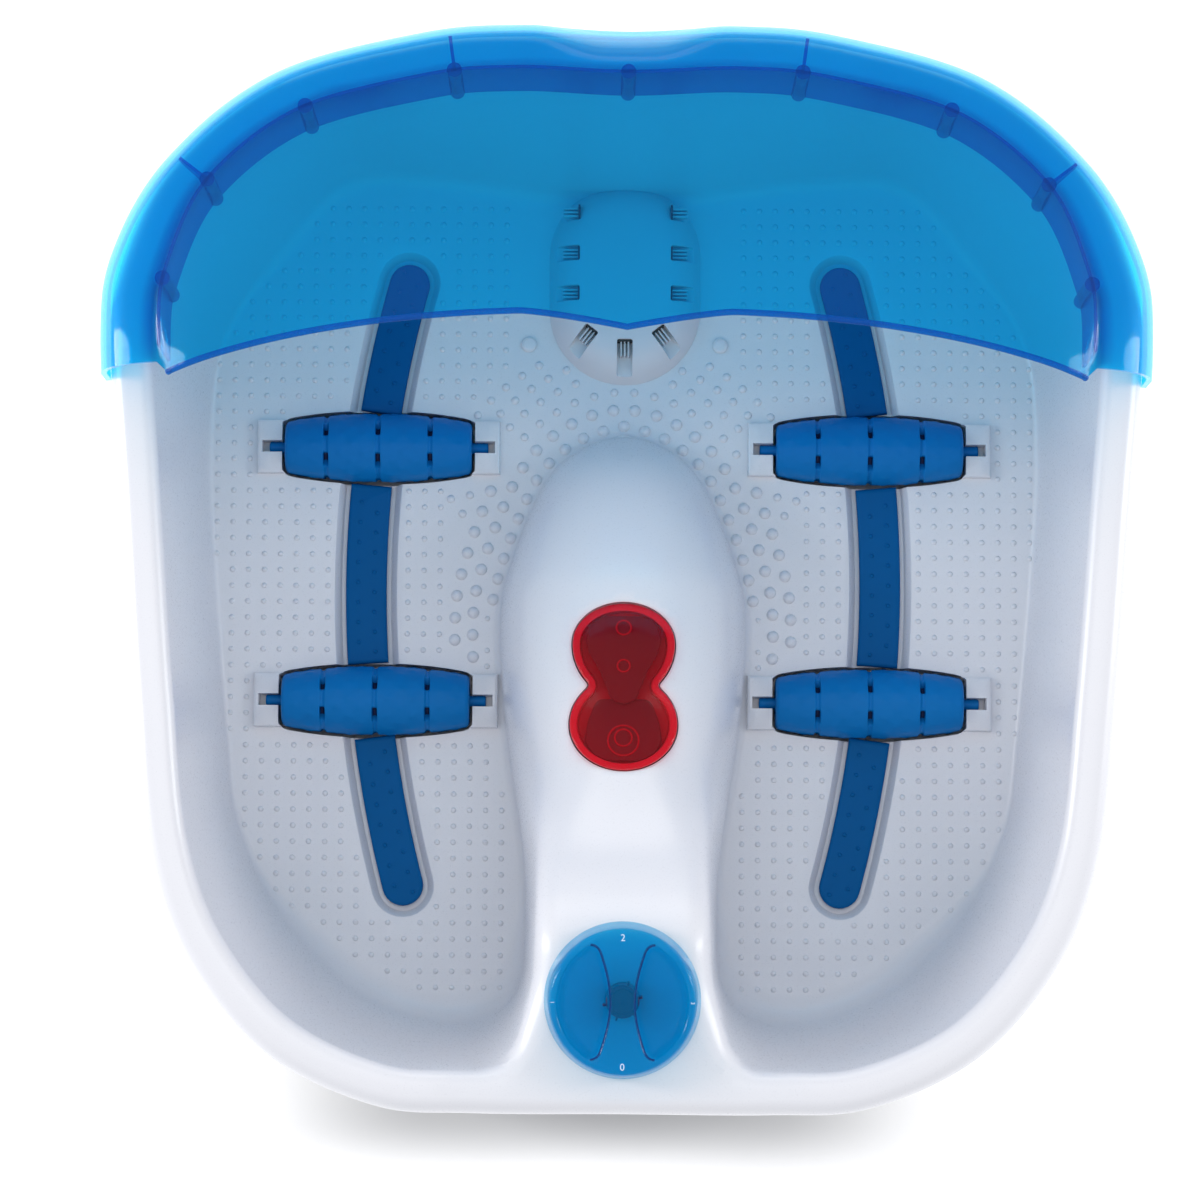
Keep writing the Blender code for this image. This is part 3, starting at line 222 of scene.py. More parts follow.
# Stage, lights and camera, in metres
FLOOR_GLOW = 0.30
FLOOR_HOLE_INSET = 26.0    # millimetres in from the rim's outline
# Painted shadow on the floor along the tub's front: the axis, and where it fades in and out along it
PAINTED_SHADOW_EDGES = [("Y", -0.222, -0.186), ("Y", 0.08, 0.0), ("X", -0.175, -0.06), ("X", 0.15, 0.04)]
WORLD_LIGHT = 0.82
SOFTBOXES = [  # name, place, aim, width, height, power
    ("box_left", (-1.15, 0.12, 0.62), (-0.10, 0.05, 0.14), 0.24, 0.80, 7.0),
    ("box_right", (1.15, 0.12, 0.62), (0.10, 0.05, 0.14), 0.24, 0.80, 4.5),
    ("box_rear", (0, 1.25, 0.85), (0, -0.05, 0.12), 1.20, 0.40, 2.5),
    ("box_above", (0, 0.10, 1.90), (0, 0, 0.10), 0.90, 0.30, 1.5),
]
CAMERA_ELEVATION = 84.0
CAMERA_DISTANCE = 1.400
CAMERA_TARGET = Vector((-0.0085, -0.0126, 0.160))
CAMERA_LENS = 123.35
CAMERA_ROLL = 0.4


# ---------------------------------------------------------------- small tools

def smooth_step(start, end, value):
    t = np.clip((value - start) / (end - start), 0.0, 1.0)
    return t * t * (3 - 2 * t)


def smooth_min(a, b, blend):
    h = np.clip(blend - np.abs(a - b), 0, None) / np.maximum(blend, 1e-6)
    return np.minimum(a, b) - h * h * blend / 4


def lerp(a, b, share):
    return a + (b - a) * share


def through(points, position):
    """Catmull-Rom curve through points, at a position counted in points."""
    last = len(points) - 1
    k = min(max(int(position), 0), last - 1)
    t = position - k
    p0, p1, p2, p3 = (np.asarray(points[i], float) for i in (max(k - 1, 0), k, k + 1, min(k + 2, last)))
    return 0.5 * (2 * p1 + (p2 - p0) * t + (2 * p0 - 5 * p1 + 4 * p2 - p3) * t * t
                  + (3 * p1 - p0 - 3 * p2 + p3) * t ** 3)


def smooth_line(points, per_span=8):
    count = (len(points) - 1) * per_span
    return np.array([through(points, k / per_span) for k in range(count + 1)])


def even_line(line, spacing, closed=True):
    """The same line with points an even distance apart."""
    path = np.vstack([line, line[:1]]) if closed else line
    run = np.concatenate([[0], np.cumsum(np.linalg.norm(np.diff(path, axis=0), axis=1))])
    count = max(3, round(run[-1] / spacing))
    at = np.linspace(0, run[-1], count + 1)
    if closed:
        at = at[:-1]
    return np.column_stack([np.interp(at, run, path[:, k]) for k in range(path.shape[1])])


def plan_curve(half, count=480):
    """A closed outline, mirrored left to right, anticlockwise from the middle of the front."""
    around = half + [(-x, y) for x, y in half[-2:0:-1]]
    padded = around[-3:] + around + around[:4]
    fine = np.array([through(padded, 3 + k / 24) for k in range(len(around) * 24)])
    angle = np.arctan2(fine[:, 0], -fine[:, 1]) % (2 * math.pi)
    order = np.argsort(angle)
    turn = 2 * math.pi * np.arange(count) / count
    radius = np.interp(turn, angle[order], np.hypot(*fine.T)[order], period=2 * math.pi)
    return np.column_stack([radius * np.sin(turn), -radius * np.cos(turn)])


def inset(line, distance):
    """A closed anticlockwise outline moved in square to itself."""
    along = np.roll(line, -1, axis=0) - np.roll(line, 1, axis=0)
    along /= np.linalg.norm(along, axis=1)[:, None]
    return line + distance * np.column_stack([-along[:, 1], along[:, 0]])


def signed_distance(points, outline):
    """Distance of each point from a closed outline, above zero inside it."""
    start, end = outline, np.roll(outline, -1, axis=0)
    edge = end - start
    square = np.maximum((edge ** 2).sum(1), 1e-12)
    rise = np.where(np.abs(edge[:, 1]) < 1e-12, 1e-12, edge[:, 1])
    found = np.empty(len(points))
    for first in range(0, len(points), 3000):
        p = points[first:first + 3000, None, :]
        t = np.clip(((p - start) * edge).sum(2) / square, 0, 1)
        away = p - start - t[..., None] * edge
        distance = np.sqrt((away ** 2).sum(2)).min(1)
        crosses = (start[:, 1] > p[..., 1]) != (end[:, 1] > p[..., 1])
        x_there = start[:, 0] + (p[..., 1] - start[:, 1]) / rise * edge[:, 0]
        inside = (crosses & (p[..., 0] < x_there)).sum(1) % 2 == 1
        found[first:first + 3000] = np.where(inside, distance, -distance)
    return found


def corners(node):
    """Low and high corner of a CAD node's box, in millimetres."""
    low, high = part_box(node)
    return Vector(low) / MM, Vector(high) / MM


def middle(node):
    """Centre of a CAD node's box, in millimetres."""
    low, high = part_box(node)
    return (low + high) / 2 / MM


class Shape:
    """Vertices and faces gathered in millimetres from several forms, each with a material slot."""

    def __init__(self):
        self.points, self.faces, self.slots = [], [], []

    def add(self, points, faces, slot=0, place=None):
        base = len(self.points)
        points = np.asarray(points, float)
        if place is not None:
            turn = np.array(place)
            points = points @ turn[:3, :3].T + turn[:3, 3]
        self.points += points.tolist()
        self.faces += [tuple(base + i for i in face) for face in faces]
        self.slots += [slot] * len(faces)

    def grid(self, rows, close_rows=False, close_columns=False, caps=False, slot=0, place=None):
        """Faces between rows of points, each row with the same number of points."""
        rows = np.asarray(rows, float)
        count, across = rows.shape[:2]
        faces = []
        for i in range(count if close_rows else count - 1):
            for j in range(across if close_columns else across - 1):
                i2, j2 = (i + 1) % count, (j + 1) % across
                faces.append((i * across + j, i * across + j2, i2 * across + j2, i2 * across + j))
        if caps:
            faces.append(tuple(range(across))[::-1])
            faces.append(tuple(range((count - 1) * across, count * across)))
        self.add(rows.reshape(-1, 3), faces, slot, place)

    def lathe(self, profile, steps=48, slot=0, place=None, close=False):
        """A profile of (radius, height) turned about Z; ends on the axis close into points."""
        turn = 2 * math.pi * np.arange(steps) / steps
        rows = [np.column_stack([r * np.cos(turn), r * np.sin(turn), np.full(steps, h)]) for r, h in profile]
        self.grid(rows, close_rows=close, close_columns=True, slot=slot, place=place)

    def tube(self, line, radius, sides=8, slot=0, place=None, closed=False):
        """A round bar along a line of points, with flat caps on its ends when it is open."""
        line = np.asarray(line, float)
        if closed:
            along = np.roll(line, -1, axis=0) - np.roll(line, 1, axis=0)
        else:
            along = np.gradient(line, axis=0)
        along /= np.linalg.norm(along, axis=1)[:, None]
        up = np.array([0.0, 0.0, 1.0])
        side = np.cross(along, up)
        weak = np.linalg.norm(side, axis=1) < 1e-3
        side[weak] = (1.0, 0.0, 0.0)
        side /= np.linalg.norm(side, axis=1)[:, None]
        top = np.cross(side, along)
        turn = 2 * math.pi * np.arange(sides) / sides
        ring = np.cos(turn)[None, :, None] * side[:, None, :] + np.sin(turn)[None, :, None] * top[:, None, :]
        rows = line[:, None, :] + radius * ring
        self.grid(rows, close_rows=closed, close_columns=True, caps=not closed, slot=slot, place=place)

    def block(self, low, high, slot=0, place=None, ease=0.4):
        """A box with eased edges."""
        x0, y0, z0 = low
        x1, y1, z1 = high
        rows = []
        for shrink, z in ((ease, z0), (0, z0 + ease), (0, z1 - ease), (ease, z1)):
            a, b, c, d = x0 + shrink, x1 - shrink, y0 + shrink, y1 - shrink
            rows.append([(a, c + ease, z), (a + ease, c, z), (b - ease, c, z), (b, c + ease, z),
                         (b, d - ease, z), (b - ease, d, z), (a + ease, d, z), (a, d - ease, z)])
        self.grid(rows, close_columns=True, caps=True, slot=slot, place=place)

    def domes(self, places, radius, height, sides):
        """Low round bumps at places (x, y, z), sunk a little so that their edges are covered."""
        levels = [(radius * 1.02, -0.25), (radius, 0.0), (radius * 0.86, height * 0.52),
                  (radius * 0.5, height * 0.88)]
        turn = 2 * math.pi * np.arange(sides) / sides
        ring = np.column_stack([np.cos(turn), np.sin(turn)])
        rows = [np.column_stack([r * ring, np.full(sides, h)]) for r, h in levels]
        bump = np.vstack(rows + [np.array([[0, 0, height]])])
        faces = []
        for i in range(len(levels) - 1):
            for j in range(sides):
                k = (j + 1) % sides
                faces.append((i * sides + j, i * sides + k, (i + 1) * sides + k, (i + 1) * sides + j))
        last = (len(levels) - 1) * sides
        faces += [(last + j, last + (j + 1) % sides, last + sides) for j in range(sides)]
        for place in places:
            self.add(bump + np.asarray(place, float), faces)

    def build(self, name, materials, body, replaces=(), slot=None, crease=35, outward=True, weld=0.002):
        """The scene object, in metres, riding its body in place of the nodes it replaces."""
        mesh = bpy.data.meshes.new(name)
        mesh.from_pydata([(x * MM, y * MM, z * MM) for x, y, z in self.points], [], self.faces)
        for material in materials:
            mesh.materials.append(material)
        mesh.polygons.foreach_set("material_index", self.slots)
        work = bmesh.new()
        work.from_mesh(mesh)
        if weld:
            bmesh.ops.remove_doubles(work, verts=work.verts, dist=weld * MM)
        bmesh.ops.dissolve_degenerate(work, edges=work.edges, dist=0.0005 * MM)
        if outward:
            bmesh.ops.recalc_face_normals(work, faces=work.faces)
        work.to_mesh(mesh)
        work.free()
        mesh.shade_smooth()
        mesh.set_sharp_from_angle(angle=math.radians(crease))
        piece = bpy.data.objects.new(name, mesh)
        bpy.context.scene.collection.objects.link(piece)
        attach(piece, body)
        if replaces:
            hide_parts(*replaces)
        return piece


def finished_mesh(item):
    """The mesh of an object as its modifiers or its curve leave it."""
    bpy.context.view_layer.update()
    return bpy.data.meshes.new_from_object(item.evaluated_get(bpy.context.evaluated_depsgraph_get()))


def draped(rings, loose, height):
    """Triangles over closed rings of plan points and loose points, lifted by height(points)."""
    plan, edges = [], []
    for ring in rings:
        base = len(plan)
        plan += [tuple(p) for p in ring]
        edges += [(base + k, base + (k + 1) % len(ring)) for k in range(len(ring))]
    plan += [tuple(p) for p in loose]
    found = delaunay_2d_cdt([Vector(p) for p in plan], edges, [], 0, 1e-4, False)
    flat = np.array([tuple(v) for v in found[0]])
    faces = np.array([tuple(f) for f in found[2]])
    corner = flat[faces]
    turn = np.cross(corner[:, 1] - corner[:, 0], corner[:, 2] - corner[:, 0])
    faces[turn < 0] = faces[turn < 0][:, ::-1]
    inside = signed_distance(corner.mean(1), np.asarray(rings[0])) > 0
    return np.column_stack([flat, height(flat)]), faces[inside & (np.abs(turn) > 1e-7)]


def grid_points(low, high, spacing):
    xs = np.arange(low[0], high[0] + spacing / 2, spacing)
    ys = np.arange(low[1], high[1] + spacing / 2, spacing)
    return np.array([(x, y) for y in ys for x in xs])


# ---------------------------------------------------------------- materials

def new_material(name):
    material = bpy.data.materials.new(name)
    material.use_nodes = True
    tree = material.node_tree
    return material, tree, tree.nodes["Principled BSDF"]


def noise(tree, scale, detail=3.0, roughness=0.5):
    """Noise in the piece's own place, scale in features for each metre."""
    place = tree.nodes.new("ShaderNodeTexCoord")
    texture = tree.nodes.new("ShaderNodeTexNoise")
    texture.inputs["Scale"].default_value = scale
    texture.inputs["Detail"].default_value = detail
    texture.inputs["Roughness"].default_value = roughness
    tree.links.new(place.outputs["Object"], texture.inputs["Vector"])
    return texture.outputs["Fac"]


def ramp(tree, value, low, high, low_value, high_value):
    """Maps a value between two limits to another pair of values."""
    node = tree.nodes.new("ShaderNodeMapRange")
    for socket, number in zip(node.inputs[1:5], (low, high, low_value, high_value)):
        socket.default_value = number
    tree.links.new(value, node.inputs["Value"])
    return node.outputs["Result"]


def two_colours(tree, share, first, second):
    node = tree.nodes.new("ShaderNodeMix")
    node.data_type = "RGBA"
    node.inputs["A"].default_value = (*first, 1)
    node.inputs["B"].default_value = (*second, 1)
    tree.links.new(share, node.inputs["Factor"])
    return node.outputs["Result"]


def add_bump(tree, shader, value, depth):
    bump = tree.nodes.new("ShaderNodeBump")
    bump.inputs["Distance"].default_value = depth * MM
    tree.links.new(value, bump.inputs["Height"])
    tree.links.new(bump.outputs["Normal"], shader.inputs["Normal"])


def plastic(name, colour, roughness, grain=1400, depth=0.01, spread=0.04, coat=0.0, shine=0.5):
    """A moulded surface: fine grain in its height and gloss, broad drift in its colour."""
    material, tree, shader = new_material(name)
    shader.inputs["Specular IOR Level"].default_value = shine
    shader.inputs["Coat Weight"].default_value = coat
    shader.inputs["Coat Roughness"].default_value = 0.15
    broad = noise(tree, 18, 2)
    darker = tuple(c * (1 - spread) for c in colour)
    lighter = tuple(min(1, c * (1 + spread)) for c in colour)
    tree.links.new(two_colours(tree, broad, darker, lighter), shader.inputs["Base Color"])
    fine = noise(tree, grain, 4, 0.6)
    tree.links.new(ramp(tree, fine, 0.3, 0.7, roughness * 0.85, roughness * 1.15), shader.inputs["Roughness"])
    add_bump(tree, shader, fine, depth)
    return material


def clear_plastic(name, tint, body, haze=0.06, gloss=0.06, shine=0.5):
    """Tinted clear plastic: what is behind shows through the tint, with a little of the body's own
    colour and a gloss that grows towards glancing angles."""
    material, tree, shader = new_material(name)
    clear = tree.nodes.new("ShaderNodeBsdfTransparent")
    clear.inputs["Color"].default_value = (*tint, 1)
    shader.inputs["Specular IOR Level"].default_value = 0.12
    drift = noise(tree, 22, 2)
    darker = tuple(c * 0.9 for c in body)
    tree.links.new(two_colours(tree, drift, darker, body), shader.inputs["Base Color"])
    fine = noise(tree, 260, 3)
    tree.links.new(ramp(tree, fine, 0.3, 0.7, gloss * 0.8, gloss * 1.3), shader.inputs["Roughness"])
    milky = tree.nodes.new("ShaderNodeMixShader")
    milky.inputs["Fac"].default_value = haze
    tree.links.new(clear.outputs[0], milky.inputs[1])
    tree.links.new(shader.outputs[0], milky.inputs[2])
    gleam = tree.nodes.new("ShaderNodeBsdfGlossy")
    gleam.inputs["Color"].default_value = (1, 1, 1, 1)
    tree.links.new(ramp(tree, fine, 0.3, 0.7, gloss * 0.8, gloss * 1.3), gleam.inputs["Roughness"])
    facing = tree.nodes.new("ShaderNodeLayerWeight")
    facing.inputs["Blend"].default_value = 0.5
    steep = tree.nodes.new("ShaderNodeMath")
    steep.operation = "POWER"
    steep.inputs[1].default_value = 2.4
    tree.links.new(facing.outputs["Facing"], steep.inputs[0])
    share = ramp(tree, steep.outputs[0], 0, 1, 0.007, shine)
    surface = tree.nodes.new("ShaderNodeMixShader")
    tree.links.new(share, surface.inputs["Fac"])
    tree.links.new(milky.outputs[0], surface.inputs[1])
    tree.links.new(gleam.outputs[0], surface.inputs[2])
    tree.links.new(surface.outputs[0], tree.nodes["Material Output"].inputs["Surface"])
    return material


def brushed(name, colour, roughness):
    """Turned or rolled metal, with fine lines round it."""
    material, tree, shader = new_material(name)
    shader.inputs["Metallic"].default_value = 1.0
    place = tree.nodes.new("ShaderNodeTexCoord")
    stretch = tree.nodes.new("ShaderNodeMapping")
    stretch.inputs["Scale"].default_value = (40, 900, 900)
    lines = tree.nodes.new("ShaderNodeTexNoise")
    lines.inputs["Scale"].default_value = 3
    tree.links.new(place.outputs["Object"], stretch.inputs["Vector"])
    tree.links.new(stretch.outputs["Vector"], lines.inputs["Vector"])
    worn = tuple(c * 0.82 for c in colour)
    tree.links.new(two_colours(tree, lines.outputs["Fac"], worn, colour), shader.inputs["Base Color"])
    tree.links.new(ramp(tree, lines.outputs["Fac"], 0.3, 0.7, roughness * 0.8, roughness * 1.3),
                   shader.inputs["Roughness"])
    add_bump(tree, shader, lines.outputs["Fac"], 0.01)
    return material


WHITE = plastic("white_gloss", (0.74, 0.745, 0.79), 0.30, grain=1600, depth=0.006, spread=0.015, coat=0.15)
COVER_WHITE = plastic("white_textured", (0.70, 0.70, 0.74), 0.48, grain=2200, depth=0.03, spread=0.02)
STRIP_BLUE = plastic("strip_blue", (0.001, 0.10, 0.30), 0.46, 1800, depth=0.02, spread=0.10, shine=0.07)
ROLLER_BLUE = plastic("roller_blue", (0.002, 0.17, 0.49), 0.42, 1500, depth=0.02, spread=0.08, shine=0.12)
# Nearly black blue for the rollers' pits: painted shade in the dents of the blue moulding.
PIT_PAINTED_SHADE = plastic("pit_painted_shade", (0.001, 0.012, 0.07), 0.6, grain=1500, depth=0.01, spread=0.10)
RUBBER = plastic("black_rubber", (0.035, 0.035, 0.038), 0.75, grain=2600, depth=0.05, spread=0.15)
BLACK = plastic("black_plastic", (0.02, 0.02, 0.022), 0.45, grain=2000, depth=0.02, spread=0.15)
STEEL = brushed("zinc_steel", (0.56, 0.57, 0.60), 0.32)
BRASS = brushed("turned_brass", (0.62, 0.45, 0.18), 0.30)
HOSE = plastic("silicone_hose", (0.62, 0.64, 0.66), 0.40, grain=900, depth=0.02, spread=0.05)
LAMP_RED = plastic("lamp_red", (0.45, 0.02, 0.015), 0.12, grain=700, depth=0.01, spread=0.12, coat=1.0)
PRINT_WHITE = plastic("printed_white", (0.62, 0.76, 0.88), 0.5, grain=1800, depth=0.004, spread=0.04)
GUARD_BLUE = clear_plastic("clear_blue", (0.13, 0.80, 0.985), (0.0, 0.24, 0.66), haze=0.08, gloss=0.05)
GUARD_EDGE = clear_plastic("clear_blue_edge", (0.05, 0.56, 0.90), (0.0, 0.16, 0.56), 0.35, 0.15, shine=0.2)
KNOB_BLUE = clear_plastic("knob_clear_blue", (0.12, 0.79, 0.95), (0.0, 0.27, 0.62), haze=0.22, gloss=0.08)
KNOB_EDGE = clear_plastic("knob_edge_blue", (0.10, 0.25, 0.60), (0.01, 0.03, 0.22), haze=0.55, gloss=0.12)
HUB_NAVY = plastic("hub_navy", (0.004, 0.022, 0.10), 0.35, grain=1500, depth=0.01, spread=0.10, shine=0.3)
LENS_RED = clear_plastic("clear_red", (0.95, 0.42, 0.48), (0.55, 0.01, 0.03), haze=0.08, gloss=0.10)
LENS_EDGE = plastic("red_edge", (0.70, 0.03, 0.07), 0.35, grain=900, depth=0.01, spread=0.12, shine=0.2)
LENS_MIDDLE = plastic("red_middle", (0.44, 0.008, 0.025), 0.4, grain=900, depth=0.01, spread=0.18, shine=0.2)
LENS_DEEP = plastic("deep_red", (0.16, 0.016, 0.022), 0.4, grain=900, depth=0.01, spread=0.25, shine=0.2)


# ---------------------------------------------------------------- outlines in plan

RIM_LINE = plan_curve(RIM_PLAN)
FLOOR_LINE = plan_curve(FLOOR_PLAN)
RIM_INNER = inset(RIM_LINE, RIM_WIDTH)


def console_line():
    """Foot of the console: up its right side, round its nose and down its left side."""
    right = smooth_line(CONSOLE_WIDTH[::-1])
    right = right[:, ::-1]
    nose = np.array([(0.0, 61.0)])
    left = right[::-1] * (-1, 1)
    return np.vstack([right, nose, left])


CONSOLE_LINE = console_line()


def strip_point(side, y, offset=0.0):
    turn = math.asin((y - STRIP_MIDDLE_Y) / STRIP_BEND_RADIUS)
    radius = STRIP_BEND_RADIUS + offset
    x = STRIP_BULGE_X - STRIP_BEND_RADIUS + radius * math.cos(turn)
    return side * x, STRIP_MIDDLE_Y + radius * math.sin(turn)


def strip_outline(side, low, high, width, round_low, round_high):
    """Outline of a stretch of strip, anticlockwise; a round end's y is at its tip."""
    half = width / 2
    start = low + (half if round_low else 0)
    stop = high - (half if round_high else 0)
    ys = np.linspace(start, stop, max(3, int((high - low) / 2)))
    outer = [strip_point(1, y, half) for y in ys]
    inner = [strip_point(1, y, -half) for y in ys[::-1]]
    line = outer + (half_turn(outer[-1], inner[0]) if round_high else [])
    line += inner + (half_turn(inner[-1], outer[0]) if round_low else [])
    line = np.array(line)
    return line if side > 0 else line[::-1] * (-1, 1)


def half_turn(start, end, steps=14):
    """Points of the half circle from start to end, on the right of the straight way."""
    start, end = np.array(start), np.array(end)
    centre, arm = (start + end) / 2, (start - end) / 2
    across = np.array([-arm[1], arm[0]])
    turn = math.pi * np.arange(1, steps) / steps
    return [tuple(centre + arm * math.cos(t) + across * math.sin(t)) for t in turn]


ROLLER_NODES = ["roller_rear_left", "roller_rear_right", "roller_front_left", "roller_front_right"]
ROLLER_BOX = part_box(ROLLER_NODES[0])
ROLLER_HALF_LENGTH = (ROLLER_BOX[1].x - ROLLER_BOX[0].x) / 2 / MM - STUB_LENGTH
ROLLER_MID_RADIUS = (ROLLER_BOX[1].z - ROLLER_BOX[0].z) / 2 / MM
ROLLER_PLACES = {name: middle(name) for name in ROLLER_NODES}


def barrel_radius(x):
    share = np.abs(x) / ROLLER_HALF_LENGTH
    return ROLLER_MID_RADIUS - (ROLLER_MID_RADIUS - ROLLER_END_RADIUS) * np.clip(share, 0, 1.2) ** 2.2


def pocket_outline(place, extra):
    """Outline of the hole that a roller turns in, anticlockwise, with eased corners."""
    length = ROLLER_HALF_LENGTH + extra
    xs = np.linspace(-length, length, 40)
    half = barrel_radius(xs) + extra
    half[[0, -1]] -= 1.4
    half[[1, -2]] -= 0.2
    lower = np.column_stack([xs, -half])
    upper = np.column_stack([xs[::-1], half[::-1]])
    return np.vstack([lower, upper]) + (place.x, place.y)


def rectangle(x0, x1, y0, y1):
    return np.array([(x0, y0), (x1, y0), (x1, y1), (x0, y1)], float)


def bearing_rectangles(place, grow=0.0):
    """The two bearing blocks of a roller."""
    found = []
    for end in (-1, 1):
        near = place.x + end * (ROLLER_HALF_LENGTH + POCKET_CLEARANCE - 1.5)
        far = place.x + end * (ROLLER_HALF_LENGTH + POCKET_CLEARANCE + BEARING_LENGTH + grow)
        half = BEARING_WIDTH / 2 + grow
        found.append(rectangle(min(near, far), max(near, far), place.y - half, place.y + half))
    return found


def slot_rectangle(place, shrink=0.0):
    reach = ROLLER_HALF_LENGTH + POCKET_CLEARANCE + BEARING_LENGTH - 1.6 - shrink
    half = SLOT_WIDTH / 2 - shrink
    return rectangle(place.x - reach, place.x + reach, place.y - half, place.y + half)


TROUGH_ENDS = (STRIP_MIDDLE_Y - TROUGH_HALF_SPAN, STRIP_MIDDLE_Y + TROUGH_HALF_SPAN)
TROUGH_LINES = [strip_outline(side, *TROUGH_ENDS, TROUGH_WIDTH, True, True) for side in (-1, 1)]


# ---------------------------------------------------------------- height of the basin over the plan

def table(points, y):
    """Reads smooth (y, value) points that run from rear to front."""
    line = smooth_line(points)[::-1]
    return np.interp(y, line[:, 0], line[:, 1])


def rim_top(x, y):
    """The rim's height, a little lower in front of the knob."""
    return RIM_Z - 2.2 * smooth_step(85, 25, np.abs(x)) * (y < 0)


def foot_fillet(points, near_console):
    """Radius of the round between the floor and what rises from it."""
    y = points[:, 1]
    wall = 2.6 + 9.0 * smooth_step(-92, -140, y) + 3.5 * smooth_step(105, 140, y)
    return lerp(wall, 3.0 + 6.0 * smooth_step(-110, -145, y), near_console)


def side_profile(depth, lean, height, edge, foot):
    """Height above the floor behind a side's foot: a round foot, a leaning side, a round edge."""
    out = np.clip(foot + depth, 0, foot)
    low = foot - np.sqrt(np.maximum(foot ** 2 - out ** 2, 0))
    side = foot + (height - foot - edge) * np.clip(depth / lean, 0, 1)
    over = np.clip(depth - lean, 0, edge)
    high = height - edge + np.sqrt(np.maximum(edge ** 2 - (edge - over) ** 2, 0))
    return np.where(depth < 0, low, np.where(depth < lean, side, high))


def basin_gap(points):
    """Distances to the wall's foot and the console's foot, and to both joined by a round corner."""
    wall = signed_distance(points, FLOOR_LINE)
    lump = -signed_distance(points, CONSOLE_LINE)
    front = smooth_step(-70, -120, points[:, 1])
    return wall, lump, smooth_min(wall, lump, CORNER_BLEND * front + 0.01)


def basin_sides(points):
    """What the sides need at each point: distances, the console's share, lean, edge and foot."""
    wall, lump, gap = basin_gap(points)
    near_console = smooth_step(-6, 6, (wall - lump) / lerp(1.0, 3.0, smooth_step(-110, -140, points[:, 1])))
    lean = np.clip(signed_distance(points, RIM_INNER) - wall, 4.5, 30)
    lean = lerp(lean, CONSOLE_LEAN, near_console)
    edge = lerp(RIM_EDGE, CONSOLE_EDGE, near_console)
    return lump, gap, near_console, lean, edge, foot_fillet(points, near_console)


def basin_height(points):
    """The moulded surface before anything is sunk into it."""
    x, y = points.T
    lump, gap, near_console, lean, edge, foot = basin_sides(points)
    on_console = smooth_step(64, 46, np.abs(x)) * smooth_step(-186, -170, y) * (y < CONSOLE_REAR_Y)
    top = lerp(rim_top(x, y), table(CONSOLE_RIDGE, y), on_console) - FLOOR_Z
    sides = side_profile(-gap, lean, top, edge, foot)
    width = table(CONSOLE_WIDTH, y)
    rise = table(CONSOLE_RIDGE, y) - FLOOR_Z
    full = 2.4 + 3.6 * smooth_step(-60, -125, y)
    across = np.clip(1 - np.clip(np.abs(x) / width, 0, 1) ** full, 0, 1) ** (1 / full)
    dome = np.where(lump < 0, rise * across, 0)
    dome = np.maximum(dome, side_profile(np.minimum(-lump, 0), 1.0, 20.0, 1.0, foot))
    front = smooth_step(-70, -120, y)
    return FLOOR_Z + lerp(dome, sides, 1 - near_console * (1 - front))


def basin_outline(spacing):
    """The horseshoe where the floor meets the walls and the console, with the way out of the water."""
    wall_part = FLOOR_LINE[signed_distance(FLOOR_LINE, CONSOLE_LINE) < 0]
    console_part = CONSOLE_LINE[::-1]
    console_part = console_part[signed_distance(console_part, FLOOR_LINE) > 0]
    line = even_line(np.vstack([wall_part, console_part]), spacing)
    for _ in range(3):
        for _ in range(4):
            slope = gap_slope(line)
            line = line - slope * (basin_gap(line)[2] / (slope ** 2).sum(1))[:, None]
        line = even_line(line, spacing)
    slope = gap_slope(line)
    return line, slope / np.linalg.norm(slope, axis=1)[:, None]


def gap_slope(points, step=0.05):
    parts = []
    for shift in ((step, 0), (0, step)):
        parts.append((basin_gap(points + shift)[2] - basin_gap(points - np.array(shift))[2]) / (2 * step))
    return np.column_stack(parts)


def lens_outline(grow=0.0, steps=40):
    """Figure of eight seen from above: two oval lobes that meet at a waist."""
    right = []
    for place, (y, half_width, away, towards) in enumerate(LENS_LOBES):
        side = 1 if place == 0 else -1
        stop = math.asin(abs(LENS_WAIST_Y - y) / towards)
        for t in np.linspace(math.pi / 2, -stop, steps):
            reach = away if t > 0 else towards
            right.append((half_width * math.cos(t), y + side * reach * math.sin(t), place))
    rear = [(x, y) for x, y, place in right if place == 0]
    front = [(x, y) for x, y, place in right if place == 1][::-1]
    half = rear + front[1:]
    around = half[::-1] + [(-x, y) for x, y in half[1:-1]]
    return inset(smooth_closed(np.array(around)), -grow)


def smooth_closed(line, spacing=1.2):
    """Rounds a closed line by a light average, at an even spacing."""
    line = even_line(line, spacing)
    for _ in range(3):
        line = 0.5 * line + 0.25 * (np.roll(line, 1, axis=0) + np.roll(line, -1, axis=0))
    return line


def lens_plane(points, depth=0.0):
    """Height of the console's slope at the lamps, sunk by depth."""
    rear_z, front_z = table(CONSOLE_RIDGE, LENS_REAR_Y), table(CONSOLE_RIDGE, LENS_FRONT_Y)
    return rear_z + (front_z - rear_z) / (LENS_FRONT_Y - LENS_REAR_Y) * (points[:, 1] - LENS_REAR_Y) - depth


LENS_LINE = lens_outline(0.4)
KNOB_JOINT = next(joint for joint in frame["joints"] if joint["name"] == "knob_turn")
KNOB_PLACE = Vector(KNOB_JOINT["pos_m"]) / MM
KNOB_AXIS = Vector(KNOB_JOINT["axis"])


def circle(centre, radius, steps=48):
    turn = 2 * math.pi * np.arange(steps) / steps
    return np.column_stack([centre[0] + radius * np.cos(turn), centre[1] + radius * np.sin(turn)])


KNOB_HOLE = circle(KNOB_PLACE, KNOB_HOLE_RADIUS)


